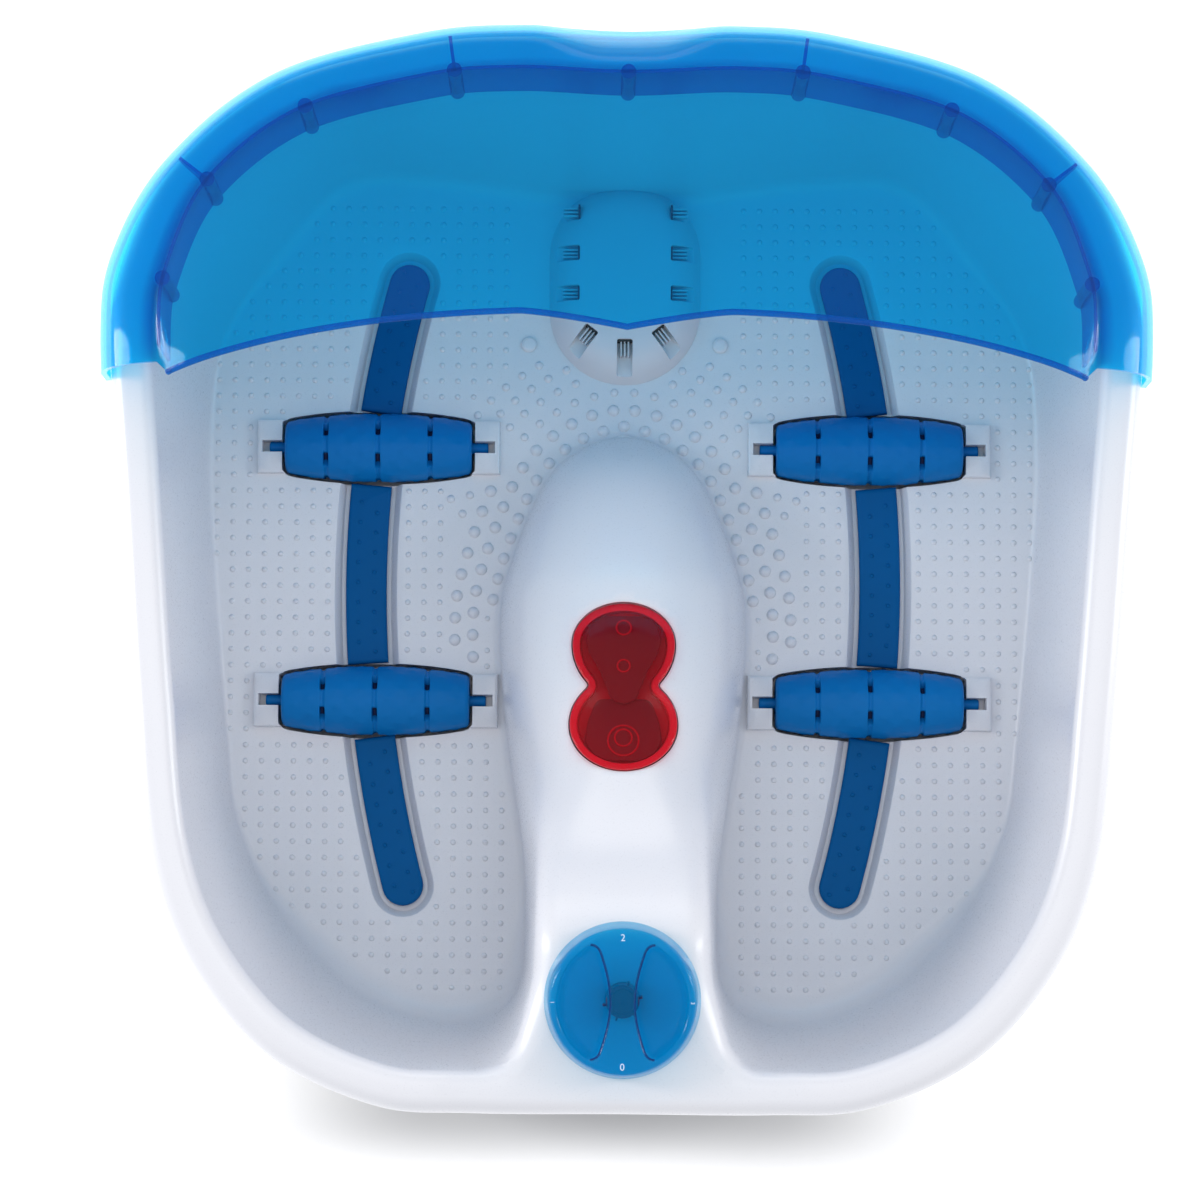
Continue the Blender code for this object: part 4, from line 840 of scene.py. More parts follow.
def tub_height(points):
    """The basin with its troughs, bearing blocks, pockets, slots, lamp opening and knob hole."""
    z = basin_height(points)
    for line in TROUGH_LINES:
        depth = signed_distance(points, line)
        z -= TROUGH_DEPTH * smooth_step(0.2, TROUGH_SLOPE + 0.2, depth)
    for place in ROLLER_PLACES.values():
        for block in bearing_rectangles(place):
            depth = signed_distance(points, block)
            z = np.where(depth > -0.25, FLOOR_Z + BEARING_RISE - 0.5 * smooth_step(0.7, -0.1, depth), z)
        z = np.where(signed_distance(points, slot_rectangle(place, 0.1)) > 0, SLOT_BOTTOM_Z, z)
        pocket = pocket_outline(place, POCKET_CLEARANCE)
        depth = signed_distance(points, pocket)
        z = np.where(depth > 0.12, FLOOR_Z - POCKET_DEPTH, z)
    lens_depth = signed_distance(points, LENS_LINE)
    z = np.where(lens_depth > 0.12, lens_plane(points, WELL_DEPTH), z)
    z -= 0.5 * smooth_step(-0.9, 0.1, lens_depth) * (lens_depth <= 0.12)
    return np.where(signed_distance(points, KNOB_HOLE) > 0.12, RIM_Z - WELL_DEPTH, z)


# ---------------------------------------------------------------- the tub

def side_rings():
    """Rings of plan points that follow the walls and the console, close together where they are steep."""
    line, towards_water = basin_outline(2.3)
    _, _, near_console, lean, edge, foot = basin_sides(line)
    dome = near_console * (1 - smooth_step(-70, -120, line[:, 1]))
    lean = lerp(lean, 3.0, dome)
    edge = lerp(edge, 9.0, dome)
    depths = [-foot * level for level in AIR_LEVELS]
    depths += [np.full(len(line), depth) for depth in FOOT_DEPTHS]
    depths += [lean * level for level in SIDE_LEVELS]
    depths += [lean + edge * (1 - math.cos(math.radians(turn))) for turn in EDGE_TURNS]
    rings = []
    for depth in depths:
        ring = line - towards_water * depth[:, None]
        for _ in range(3):
            ring -= towards_water * (basin_gap(ring)[2] + depth)[:, None] * 1.15
        rings.append(ring)
    return rings


def even_sides(polygon, spacing):
    """A polygon's outline with points added evenly along each side, its corners kept."""
    line = []
    for start, end in zip(polygon, np.roll(polygon, -1, axis=0)):
        count = max(1, round(float(np.linalg.norm(end - start)) / spacing))
        line += [lerp(start, end, k / count) for k in range(count)]
    return np.array(line)


def fill_points(keep_out):
    """Loose points: close together on the console and the rim's front, wide apart on the flat floor."""
    close = grid_points((-62, -183), (62, 58), 3.0)
    on_top = basin_gap(close)[2] < -15.0
    close = close[on_top & (signed_distance(close, RIM_LINE) > RIM_TOP_INSET + 1.5)]
    wide = grid_points((-150, -154), (150, 156), 7.0)
    wide = wide[basin_gap(wide)[2] > 14]
    loose = np.vstack([close, wide])
    for outline, margin in keep_out:
        loose = loose[signed_distance(loose, outline) < -margin]
    return loose


def basin_surface(rim_ring):
    """The basin, the console and the rim's top inside rim_ring."""
    rings = [rim_ring] + side_rings()
    keep_out = [(LENS_LINE, 1.5), (KNOB_HOLE, 1.5)]
    for line in TROUGH_LINES:
        rings += [inset(line, d) for d in (0.0, 0.5, 1.1, 1.7, 2.3, 2.9, 3.4)]
        keep_out.append((line, 1.0))
    for place in ROLLER_PLACES.values():
        for grow in (0.3, 0.0, -0.7):
            rings += [even_sides(block, 2.0) for block in bearing_rectangles(place, grow)]
        keep_out += [(block, 1.0) for block in bearing_rectangles(place)]
        rings += [even_sides(slot_rectangle(place, s), 1.6) for s in (0.0, 0.25)]
        rings += [pocket_outline(place, POCKET_CLEARANCE - s) for s in (0.0, 0.3)]
        keep_out.append((pocket_outline(place, POCKET_CLEARANCE), 1.0))
    rings += [inset(LENS_LINE, d) for d in (-0.9, -0.4, 0.0, 0.25)]
    rings += [inset(KNOB_HOLE, d) for d in (0.0, 0.25)]
    return draped(rings, fill_points(keep_out), tub_height)


def make_tub():
    rim_ring = inset(RIM_LINE, RIM_TOP_INSET)
    rim_heights = tub_height(rim_ring)
    tub = Shape()
    tub.add(*basin_surface(rim_ring))
    rows = []
    for step_in, drop in RIM_ROLL:
        rows.append(np.column_stack([inset(RIM_LINE, step_in), rim_heights + drop]))
    skirt_top = RIM_Z + RIM_ROLL[-1][1]
    for z in SKIRT_HEIGHTS:
        line = inset(RIM_LINE, SKIRT_DRAFT * (skirt_top - z) / (skirt_top - SKIRT_BOTTOM_Z))
        rows.append(np.column_stack([line, np.full(len(line), float(z))]))
    for step_in, z in ((SKIRT_DRAFT, 6.2), (SKIRT_DRAFT + 0.4, 5.3), (SKIRT_DRAFT + 1.2, SKIRT_BOTTOM_Z)):
        line = inset(RIM_LINE, step_in)
        rows.append(np.column_stack([line, np.full(len(line), z)]))
    tub.grid(rows[::-1], close_columns=True)
    piece = tub.build("tub", [WHITE], "tub", replaces=["tub_shell"], slot="tub_white", crease=38,
                      outward=False)
    shell = piece.modifiers.new("wall", "SOLIDIFY")
    shell.thickness = SHELL_WALL * MM
    shell.offset = -1
    shell.use_even_offset = False


# ---------------------------------------------------------------- pips and nodes on the floor

def nose_arc(distance, spacing, stagger, low_y):
    """Places along a line round the console's nose, at a distance from its foot."""
    line = inset(CONSOLE_LINE, -distance)
    line = line[line[:, 1] > low_y]
    order = np.argsort(np.arctan2(line[:, 0], line[:, 1] - low_y + 40))
    line = line[order]
    run = np.concatenate([[0], np.cumsum(np.linalg.norm(np.diff(line, axis=0), axis=1))])
    half = run[-1] / 2
    count = int(half / spacing)
    at = half + spacing * (np.arange(-count, count + 1) + stagger)
    at = at[(at > 0) & (at < run[-1])]
    return np.column_stack([np.interp(at, run, line[:, k]) for k in (0, 1)])


PLUGS = [middle("screw_plug_left"), middle("screw_plug_right")]


def clear_of_features(points, margin):
    """Drops the points that are over or beside something sunk into the floor or standing on it."""
    keep = np.ones(len(points), bool)
    for line in TROUGH_LINES:
        keep &= signed_distance(points, line) < -margin
    for place in ROLLER_PLACES.values():
        keep &= signed_distance(points, pocket_outline(place, POCKET_CLEARANCE)) < -margin
        for block in bearing_rectangles(place):
            keep &= signed_distance(points, block) < -margin
    for plug in PLUGS:
        keep &= np.hypot(*(points - (plug.x, plug.y)).T) > 2.8 + margin
    return points[keep]


def heater_distance(points):
    """Distance outside the heater cover's foot, a slot-shaped outline."""
    straight = MOUND_HALF_LENGTH - MOUND_HALF_WIDTH
    along = np.maximum(np.abs(points[:, 1] - MOUND_MIDDLE_Y) - straight, 0)
    return np.hypot(points[:, 0], along) - MOUND_HALF_WIDTH


def make_floor_pips():
    nodes, mediums = [], []
    for distance, spacing, stagger, low_y in NODE_ROWS:
        row = nose_arc(distance, spacing, stagger, low_y)
        if distance > 16:
            row = row[row[:, 1] < NODE_REAR_Y]
        nodes.append(row)
    for distance, spacing, stagger, low_y in MEDIUM_ROWS:
        mediums.append(nose_arc(distance, spacing, stagger, low_y))
    nodes = clear_of_features(np.vstack(nodes), NODE_RADIUS + 0.6)
    mediums = clear_of_features(np.vstack(mediums), 2.0)
    mediums = mediums[heater_distance(mediums) > 3]
    columns = 150.3 - PIP_PITCH * np.arange(26)
    rows = 146.0 - PIP_PITCH * np.arange(50)
    pips = np.array([(side * x, y) for y in rows for x in columns for side in (-1, 1)])
    wall, lump, _ = basin_gap(pips)
    foot = foot_fillet(pips, np.zeros(len(pips)))
    pips = pips[(wall > np.maximum(foot, 3.2) - 1.6) & (lump > 5.0) & (heater_distance(pips) > 16)]
    pips = clear_of_features(pips, 1.9)
    special = np.vstack([nodes, mediums])
    apart = np.linalg.norm(pips[:, None] - special[None], axis=2).min(1)
    lump = -signed_distance(pips, CONSOLE_LINE)
    nose_zone = (pips[:, 1] > 8) & (lump < 38) & (np.abs(pips[:, 0]) < 62)
    pips = pips[(apart > 4.6) & ~nose_zone]
    shape = Shape()
    for places, radius, height, sides in ((pips, PIP_RADIUS, 0.62, 10), (mediums, MEDIUM_RADIUS, 0.9, 12),
                                          (nodes, NODE_RADIUS, 1.45, 16)):
        z = tub_height(places)
        shape.domes(np.column_stack([places, z]), radius, height, sides)
    shape.build("floor_pips", [WHITE], "tub", slot="tub_white", crease=60)


# ---------------------------------------------------------------- air strips

def make_air_strips():
    for hand, side in (("left", -1), ("right", 1)):
        for part in ("rear", "middle", "front"):
            node = f"air_strip_{part}_{hand}"
            low, high = corners(node)
            outline = strip_outline(side, low.y, high.y, STRIP_WIDTH, part == "front", part == "rear")
            rows = []
            for shrink, rise in ((0.0, 0.0), (0.0, 2.1), (0.25, 2.6), (0.7, 2.9), (1.3, 3.0)):
                rows.append(np.column_stack([inset(outline, shrink), np.full(len(outline), low.z + rise)]))
            shape = Shape()
            shape.grid(rows, close_columns=True, caps=True)
            pips = []
            for k, y in enumerate(np.arange(low.y + 4.2, high.y - 3.6, 3.7)):
                pips.append((*strip_point(side, y, 3.0 if k % 2 else -3.0), high.z - 0.02))
            shape.domes(pips, 0.85, 0.5, 10)
            shape.build(node + "_soft", [STRIP_BLUE], "tub", replaces=[node], slot="strip_blue")


# ---------------------------------------------------------------- rollers

def around_roller(turn, count, shift):
    """Distance round the barrel from the nearest of count even places."""
    return ((turn / (2 * math.pi) * count + shift) % 1 - 0.5) / count * 2 * math.pi * ROLLER_MID_RADIUS


def roller_surface(along, turn):
    """Radius of a roller: a barrel with three grooves, six pits in each and low bumps between."""
    radius = barrel_radius(along)
    end = np.clip((ROLLER_HALF_LENGTH - np.abs(along)) / 1.6, 0, 1)
    radius = radius - 1.5 * (1 - np.sqrt(1 - (1 - end) ** 2))
    deep = np.zeros_like(radius)
    for place in GROOVES:
        away = np.abs(along - place)
        radius = radius - 0.6 * smooth_step(1.1, 0.2, away)
        pit_along = smooth_step(1.1, 0.72, away)
        around = around_roller(turn, PITS_AROUND, 0.5)
        pit_round = smooth_step(2.9, 2.2, np.abs(around))
        deep = np.maximum(deep, pit_along * pit_round)
    for row, place in enumerate(BUMP_RINGS):
        around = around_roller(turn, BUMPS_AROUND, 0.5 * (row % 2))
        bump = np.hypot(along - place, around)
        radius = radius + 0.30 * smooth_step(2.1, 0.2, bump)
    return radius - 2.6 * deep, deep


def make_rollers():
    stations = [np.linspace(-ROLLER_HALF_LENGTH, ROLLER_HALF_LENGTH, 76)]
    stations += [place + np.linspace(-1.3, 1.3, 11) for place in GROOVES]
    round_end = ROLLER_HALF_LENGTH - 1.6 * (1 - np.cos(np.linspace(0, 1.5, 7)))
    stations += [-round_end, round_end]
    fine = np.unique(np.concatenate(stations))
    turns = 2 * math.pi * np.arange(120) / 120
    along, turn = np.meshgrid(fine, turns, indexing="ij")
    radius, deep = roller_surface(along, turn)
    rows = np.stack([along, radius * np.cos(turn), radius * np.sin(turn)], axis=2)
    for node, place in ROLLER_PLACES.items():
        move = Matrix.Translation(place)
        barrel = Shape()
        barrel.grid(rows, close_columns=True, place=move)
        # Faces deep in the pits take slot 1, the pits' painted shade.
        shallow = np.minimum(deep[:-1], deep[1:])
        face_depth = np.minimum(shallow, np.roll(shallow, -1, axis=1))
        barrel.slots = [1 if d > 0.5 else 0 for d in face_depth.reshape(-1)]
        across = Matrix.Rotation(math.pi / 2, 4, "Y")
        last = float(radius[-1, 0])
        for end in (-1, 1):
            edge = end * ROLLER_HALF_LENGTH
            tip = edge + end * STUB_LENGTH
            recess = edge - end * 0.7
            profile = [(last, edge), (last - 1.2, edge + end * 0.02), (6.2, edge), (6.0, recess),
                       (3.4, recess), (3.2, edge), (STUB_RADIUS, edge), (STUB_RADIUS, tip - end * 0.4),
                       (STUB_RADIUS - 0.4, tip), (0.01, tip)]
            barrel.lathe(profile, steps=48, place=move @ across)
        barrel.build(node + "_barrel", [ROLLER_BLUE, PIT_PAINTED_SHADE], node, replaces=[node], slot="roller_blue",
                     crease=40)


# ---------------------------------------------------------------- splash guard

@functools.cache
def rim_inset(step_in):
    return inset(RIM_LINE, step_in)


def rim_point(angle, step_in=0.0):
    """A point of the rim's outline in a direction counted from the front towards the right."""
    place = angle / (2 * math.pi) * len(RIM_LINE)
    low = int(math.floor(place))
    line = rim_inset(step_in)
    return lerp(line[low % len(line)], line[(low + 1) % len(line)], place - low)


def guard_end_angle():
    angle = math.pi / 2
    while rim_point(angle)[1] < GUARD_END_Y:
        angle += 0.001
    return angle


GUARD_END_ANGLE = guard_end_angle()


def guard_edge_y(x):
    """The free edge: bowed, lower at both ends, with a shallow point in the middle."""
    share = abs(x) / 155
    point = max(0.0, 1 - abs(x) / 36) ** 1.2
    return GUARD_EDGE_Y - GUARD_END_DROP * share ** 2.6 - GUARD_POINT_DROP * point


def guard_section(angle):
    """Points across the guard in one direction, from the skirt over the rim to the free edge."""
    off_end = abs(angle - math.pi) / (math.pi - GUARD_END_ANGLE)
    overhang = -1.4 + 3.6 * float(smooth_step(0.66, 0.86, off_end))
    drop = 9.5 * float(smooth_step(0.87, 0.93, off_end))
    dip = float(smooth_step(34, 8, abs(rim_point(angle)[0]))) * (angle > 2)
    band = [(-overhang, RIM_Z + 0.6 - drop), (-overhang, RIM_Z + 3.2), (-overhang, RIM_Z + 6),
            (1.0 - overhang * 0.9, RIM_Z + 13), (4.2 - overhang * 0.58, RIM_Z + 19.5), (9.5, RIM_Z + 23.8),
            (GUARD_RIB_INSET - GUARD_THICKNESS / 2, GUARD_BAND_Z)]
    points = []
    for step_in, z in smooth_line(band, 5):
        x, y = rim_point(angle, step_in)
        lowered = dip * 3.0 * float(smooth_step(RIM_Z + 8, RIM_Z + 20, z) * smooth_step(16, 6, step_in))
        points.append((x, y - dip * 1.5 * float(smooth_step(RIM_Z + 6, RIM_Z + 14, z)), z - lowered))
    x0, y0, z0 = points[-1]
    x1 = x0 * 0.975
    y1 = guard_edge_y(x1)
    depth = math.hypot(x1 - x0, y1 - y0)
    rise = GUARD_RISE * float(smooth_step(0, 90, depth))
    for k in range(1, GUARD_ROOF_STEPS + 1):
        t = k / GUARD_ROOF_STEPS
        points.append((x0 + (x1 - x0) * t, y0 + (y1 - y0) * t, z0 + rise * (1 - (1 - t) ** 2)))
    return points


def make_guard():
    turns = GUARD_END_ANGLE + 2 * (math.pi - GUARD_END_ANGLE) * np.arange(GUARD_STEPS + 1) / GUARD_STEPS
    outer = np.array([guard_section(angle) for angle in turns])
    normals = guard_normals(outer)
    inner = outer - normals * GUARD_THICKNESS
    shell = Shape()
    shell.grid(np.concatenate([outer, inner[:, ::-1]], axis=1), close_columns=True)
    for end in (0, -1):
        shell.grid(np.stack([outer[end], inner[end]]))
    shell.tube(outer[:, -1] - normals[:, -1] * (GUARD_THICKNESS / 2), GUARD_BEAD_RADIUS, sides=12, slot=1)
    guard_ribs(shell)
    shell.build("splash_guard_shell", [GUARD_BLUE, GUARD_EDGE], "guard", replaces=["splash_guard"],
                slot="guard_blue", crease=40, weld=0.0)


def guard_normals(grid):
    """Unit normals of a grid of points, on the side that is up."""
    across = np.gradient(grid, axis=1)
    along = np.gradient(grid, axis=0)
    normal = np.cross(along, across)
    normal /= np.linalg.norm(normal, axis=2)[:, :, None]
    middle_row = normal[len(normal) // 2, -5]
    return normal if middle_row[2] > 0 else -normal


def rib_wall(shell, angles, low, high, half):
    """A thin wall that follows the rim, from low to high."""
    rows = []
    for angle in angles:
        outer = rim_point(angle, GUARD_RIB_INSET - half)
        inner = rim_point(angle, GUARD_RIB_INSET + half)
        rows.append([(*outer, low + 0.3), (*lerp(outer, inner, 0.5), low), (*inner, low + 0.3),
                     (*inner, high), (*outer, high)])
    shell.grid(rows, close_columns=True, caps=True, slot=1)


def guard_ribs(shell):
    """The drip wall under the guard, its nine posts and the four stays out to the band."""
    top = GUARD_BAND_Z - 1.2
    first = GUARD_END_ANGLE + 0.03
    angles = first + 2 * (math.pi - first) * np.arange(161) / 160
    rib_wall(shell, angles, GUARD_RIB_BOTTOM_Z, top, 0.6)
    for degrees in POST_ANGLES:
        for side in ((1,) if degrees == 0 else (-1, 1)):
            angle = math.pi + side * math.radians(degrees)
            x, y = rim_point(angle, GUARD_RIB_INSET)
            profile = [(0.01, GUARD_RIB_BOTTOM_Z + 0.5), (POST_RADIUS - 0.4, GUARD_RIB_BOTTOM_Z + 0.5),
                       (POST_RADIUS, GUARD_RIB_BOTTOM_Z + 1.2), (POST_RADIUS, top), (0.01, top)]
            shell.lathe(profile, steps=20, slot=1, place=Matrix.Translation((x, y, 0)))
            if degrees in STAY_ANGLES:
                outer = rim_point(angle, 7.0)
                inner = rim_point(angle, GUARD_RIB_INSET - 0.5)
                across = np.array([-(outer - inner)[1], (outer - inner)[0]])
                across = across / np.linalg.norm(across) * 0.55
                rows = []
                for point, low, high in ((inner, top - 16, top), (outer, top - 8, top - 3.4)):
                    rows.append([(*(point - across), low), (*(point + across), low),
                                 (*(point + across), high), (*(point - across), high)])
                shell.grid(rows, close_columns=True, caps=True, slot=1)


# ---------------------------------------------------------------- knob

def knob_place():
    """From the knob's own frame, seat at the origin and axis along Z, to the row frame."""
    turn = Vector((0, 0, 1)).rotation_difference(KNOB_AXIS).to_matrix().to_4x4()
    return Matrix.Translation(KNOB_PLACE) @ turn


def recess_outline(side):
    """A D beside the ridge: an arc outside and a waisted line along the ridge."""
    turns = np.radians(np.linspace(-RECESS_HALF_TURN, RECESS_HALF_TURN, 40))
    arc = np.column_stack([RECESS_RADIUS * np.cos(turns), RECESS_RADIUS * np.sin(turns)])
    ys = np.linspace(arc[-1, 1], arc[0, 1], 34)[1:-1]
    waist = 3.9 + 4.6 * (np.abs(ys) / arc[-1, 1]) ** 1.7
    line = smooth_closed(np.vstack([arc, np.column_stack([waist, ys])]), 0.9)
    return line if side > 0 else line[::-1] * (-1, 1)


def knob_top(points):
    z = np.full(len(points), KNOB_TOP_Z)
    for side in (-1, 1):
        depth = signed_distance(points, recess_outline(side))
        z -= RECESS_DEPTH * (0.12 * smooth_step(-0.3, 0.5, depth) + 0.88 * smooth_step(0.3, 2.6, depth))
    return z


def make_knob():
    place = knob_place()
    knob = Shape()
    rings = [circle((0, 0), KNOB_TOP_RADIUS - 1.5, 144)]
    for side in (-1, 1):
        rings += [inset(recess_outline(side), d) for d in (-0.35, 0.0, 0.4, 0.8, 1.3, 1.9, 2.6)]
    loose = grid_points((-24, -24), (24, 24), 1.8)
    loose = loose[np.hypot(*loose.T) < KNOB_TOP_RADIUS - 2.2]
    for side in (-1, 1):
        near = signed_distance(loose, recess_outline(side))
        loose = loose[(near < -0.8) | (near > 3.2)]
    knob.add(*draped(rings, loose, knob_top), place=place)
    skirt = [(KNOB_TOP_RADIUS - 1.5, KNOB_TOP_Z), (KNOB_TOP_RADIUS - 0.9, 12.9),
             (KNOB_TOP_RADIUS - 0.4, 12.55), (KNOB_TOP_RADIUS, 11.9), (KNOB_TOP_RADIUS + 0.3, 11.0),
             (25.6, 6.5), (26.2, 3.4), (KNOB_RADIUS, 2.0), (KNOB_RADIUS, 1.4),
             (KNOB_RADIUS - 0.4, KNOB_BASE_Z), (HUB_RADIUS, KNOB_BASE_Z), (0.01, KNOB_BASE_Z)]
    knob.lathe(skirt, steps=144, place=place)
    for side in (-1, 1):
        line = recess_outline(side)
        ridge_side = line[np.abs(line[:, 0]) < 11.5]
        ridge_side = ridge_side[np.argsort(ridge_side[:, 1])]
        lifted = np.column_stack([ridge_side, np.full(len(ridge_side), KNOB_TOP_Z - 0.75)])
        knob.tube(lifted, 0.42, sides=8, slot=1, place=place)
    bore = KNOB_SHAFT_RADIUS + 0.5
    hub = [(bore, KNOB_BASE_Z + 0.3), (HUB_RADIUS, KNOB_BASE_Z + 0.3), (HUB_RADIUS - 0.3, 9.4),
           (HUB_RADIUS - 0.9, 9.9), (HUB_RADIUS - 1.6, 9.9), (HUB_RADIUS - 1.9, 9.5), (1.2, 9.5),
           (0.01, 10.1)]
    knob.lathe(hub, steps=40, slot=2, place=place)
    knob.lathe([(0.01, 8.4), (bore, 8.4), (bore, KNOB_BASE_Z + 0.3)], steps=40, slot=2, place=place)
    for k in range(6):
        fin = place @ Matrix.Rotation(math.pi * k / 3 + 0.2, 4, "Z")
        knob.block((HUB_RADIUS - 0.4, -0.35, 2), (HUB_RADIUS + 0.9, 0.35, 8.6), slot=2, place=fin, ease=0.12)
    knob.build("control_knob_clear", [KNOB_BLUE, KNOB_EDGE, HUB_NAVY], "knob", replaces=["control_knob"],
               slot="knob_blue", crease=40)
    make_dial_numbers(place)


def make_dial_numbers(place):
    """Raised mode numbers round the knob's top, plain figures 0 to 3."""
    for number, degrees, radius, size, turned in DIAL_NUMBERS:
        curve = bpy.data.curves.new(f"dial_number_{number}", "FONT")
        curve.body = str(number)
        curve.align_x = "CENTER"
        curve.align_y = "CENTER"
        curve.size = DIAL_FIGURE_SIZE * MM
        curve.extrude = 0.07 * MM
        draft = bpy.data.objects.new(f"dial_draft_{number}", curve)
        bpy.context.scene.collection.objects.link(draft)
        mesh = finished_mesh(draft)
        bpy.data.objects.remove(draft)
        turn = math.radians(degrees)
        here = Matrix.Translation((radius * math.cos(turn), radius * math.sin(turn), KNOB_TOP_Z + 0.05))
        spin = Matrix.Rotation(turn - math.pi / 2 if turned else 0, 4, "Z")
        mesh.transform(Matrix.Scale(MM, 4) @ place @ here @ spin @ Matrix.Scale(1 / MM * size, 4))
        mesh.materials.clear()
        mesh.materials.append(PRINT_WHITE)
        item = bpy.data.objects.new(f"dial_number_{number}", mesh)
        bpy.context.scene.collection.objects.link(item)
        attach(item, "knob")


# ---------------------------------------------------------------- lamp window

def on_slope(line, depth):
    line = np.asarray(line)
    return np.column_stack([line, lens_plane(line, depth)])


def mirrored(half):
    """A closed outline from its right half, front to rear, with eased corners."""
    return smooth_closed(np.array(half + [(-x, y) for x, y in half[::-1]]), 0.8)


def make_lens():
    outline = lens_outline()
    lens = Shape()
    levels = [(0.0, 3.2), (0.0, 0.2), (0.12, -0.35), (0.45, -0.75), (1.0, -0.95)]
    rows = [on_slope(inset(outline, step_in), depth) for step_in, depth in levels]
    lens.grid(rows, close_columns=True)
    crown = [inset(outline, d) for d in (1.0, 2.4, 4.2, 6.5, 9.0)]
    loose = grid_points((-18, -72), (18, -6), 2.6)
    loose = loose[signed_distance(loose, outline) > 10]
    lens.add(*draped(crown, loose, lambda p: lens_plane(
        p, -0.95 - 0.9 * smooth_step(1.0, 9.0, signed_distance(p, outline)))))
    body = [(0.05, 3.2), (0.05, 12.4), (0.6, 12.9), (LENS_WALL, 12.9), (LENS_WALL, 6.4),
            (LENS_WALL - 0.5, 3.6), (LENS_WALL - 1.4, 3.2)]
    rows = [on_slope(inset(outline, step_in), depth) for step_in, depth in body]
    lens.grid(rows, close_rows=True, close_columns=True, slot=1)
    for line, depth, slot in ((inset(outline, LENS_WALL - 0.1), 6.2, 2), (mirrored(LENS_TRAY), 4.4, 3),
                              (mirrored(LENS_TONGUE), 3.2, 3)):
        rows = [on_slope(line, depth + 1.2), on_slope(line, depth + 0.4), on_slope(inset(line, 0.4), depth)]
        lens.grid(rows, close_columns=True, caps=True, slot=slot)
    for y, radius in LENS_MARKS:
        ring = circle((0, y), radius, 36)
        depth = 3.1 if y > LENS_WAIST_Y else 4.3
        lens.tube(on_slope(ring, depth), 0.34, sides=6, slot=2, closed=True)
    lens.build("lamp_window", [LENS_RED, LENS_EDGE, LENS_MIDDLE, LENS_DEEP], "tub", replaces=["ir_lens"],
               slot="lens_red", crease=40)


# ---------------------------------------------------------------- heater cover and plugs

def stadium(half_width, half_length, steps=20):
    straight = half_length - half_width
    line = []
    for end in (1, -1):
        for k in range(steps + 1):
            t = math.pi * k / steps
            y = MOUND_MIDDLE_Y + end * (straight + half_width * math.sin(t))
            line.append((end * half_width * math.cos(t), y))
    return np.array(line)


def notch_frames(low):
    """Where each water notch sits, its X pointing outwards from the mound."""
    frames = []
    for x, y, degrees in NOTCHES:
        for side in ((1,) if x == 0 else (-1, 1)):
            turn = math.radians(degrees if side > 0 else 180 - degrees)
            frames.append(Matrix.Translation((side * x, y, low)) @ Matrix.Rotation(turn, 4, "Z"))
    return frames


def make_heater_cover():
    low = corners("heater_cover")[0].z
    cover = Shape()
    rows = []
    for shrink, rise in MOUND_FLANK:
        line = stadium(MOUND_HALF_WIDTH - shrink, MOUND_HALF_LENGTH - shrink)
        rows.append(np.column_stack([line, np.full(len(line), low + rise)]))
    cover.grid(rows, close_columns=True, caps=True)
    piece = cover.build("heater_mound", [COVER_WHITE], "tub", replaces=["heater_cover"], slot="cover_white")
    holes, ribs, dark = Shape(), Shape(), Shape()
    for place in notch_frames(low):
        holes.block((-4.2, -2.9, 4.4), (12.0, 2.9, 13.0), place=place, ease=0.5)
        # A black plate at the inner end of each notch: painted shade for the dark inside of the mound.
        dark.block((-4.3, -2.7, 4.2), (-3.5, 2.7, 9.4), place=place, ease=0.1)
        for across in (-1.35, 0.0, 1.35):
            ribs.block((-4.0, across - 0.3, 4.2), (2.0, across + 0.3, 8.2), place=place, ease=0.1)
    carve(piece, holes.build("notch_cutter", [COVER_WHITE], "tub"))
    ribs.build("heater_mound_ribs", [COVER_WHITE], "tub", slot="cover_white")
    dark.build("heater_mound_painted_shade", [BLACK], "tub", slot="black_plastic")


def carve(piece, cutter):
    """Cuts one piece with another and removes the cutter."""
    change = piece.modifiers.new("cut", "BOOLEAN")
    change.operation = "DIFFERENCE"
    change.object = cutter
    change.solver = "EXACT"
    mesh = finished_mesh(piece)
    piece.modifiers.remove(change)
    piece.data = mesh
    mesh.shade_smooth()
    mesh.set_sharp_from_angle(angle=math.radians(35))
    bpy.data.objects.remove(cutter)


def make_plugs():
    for hand in ("left", "right"):
        node = f"screw_plug_{hand}"
        low, high = corners(node)
        radius = (high.x - low.x) / 2
        profile = [(0.01, 0), (radius, 0), (radius, 0.55), (radius - 0.35, 0.9), (radius - 1.1, 1.08),
                   (0.01, 1.1)]
        plug = Shape()
        plug.lathe(profile, steps=40, place=Matrix.Translation((*((low + high) / 2).xy, low.z)))
        plug.build(node + "_disc", [WHITE], "tub", replaces=[node], slot="cover_white")


# ---------------------------------------------------------------- underneath

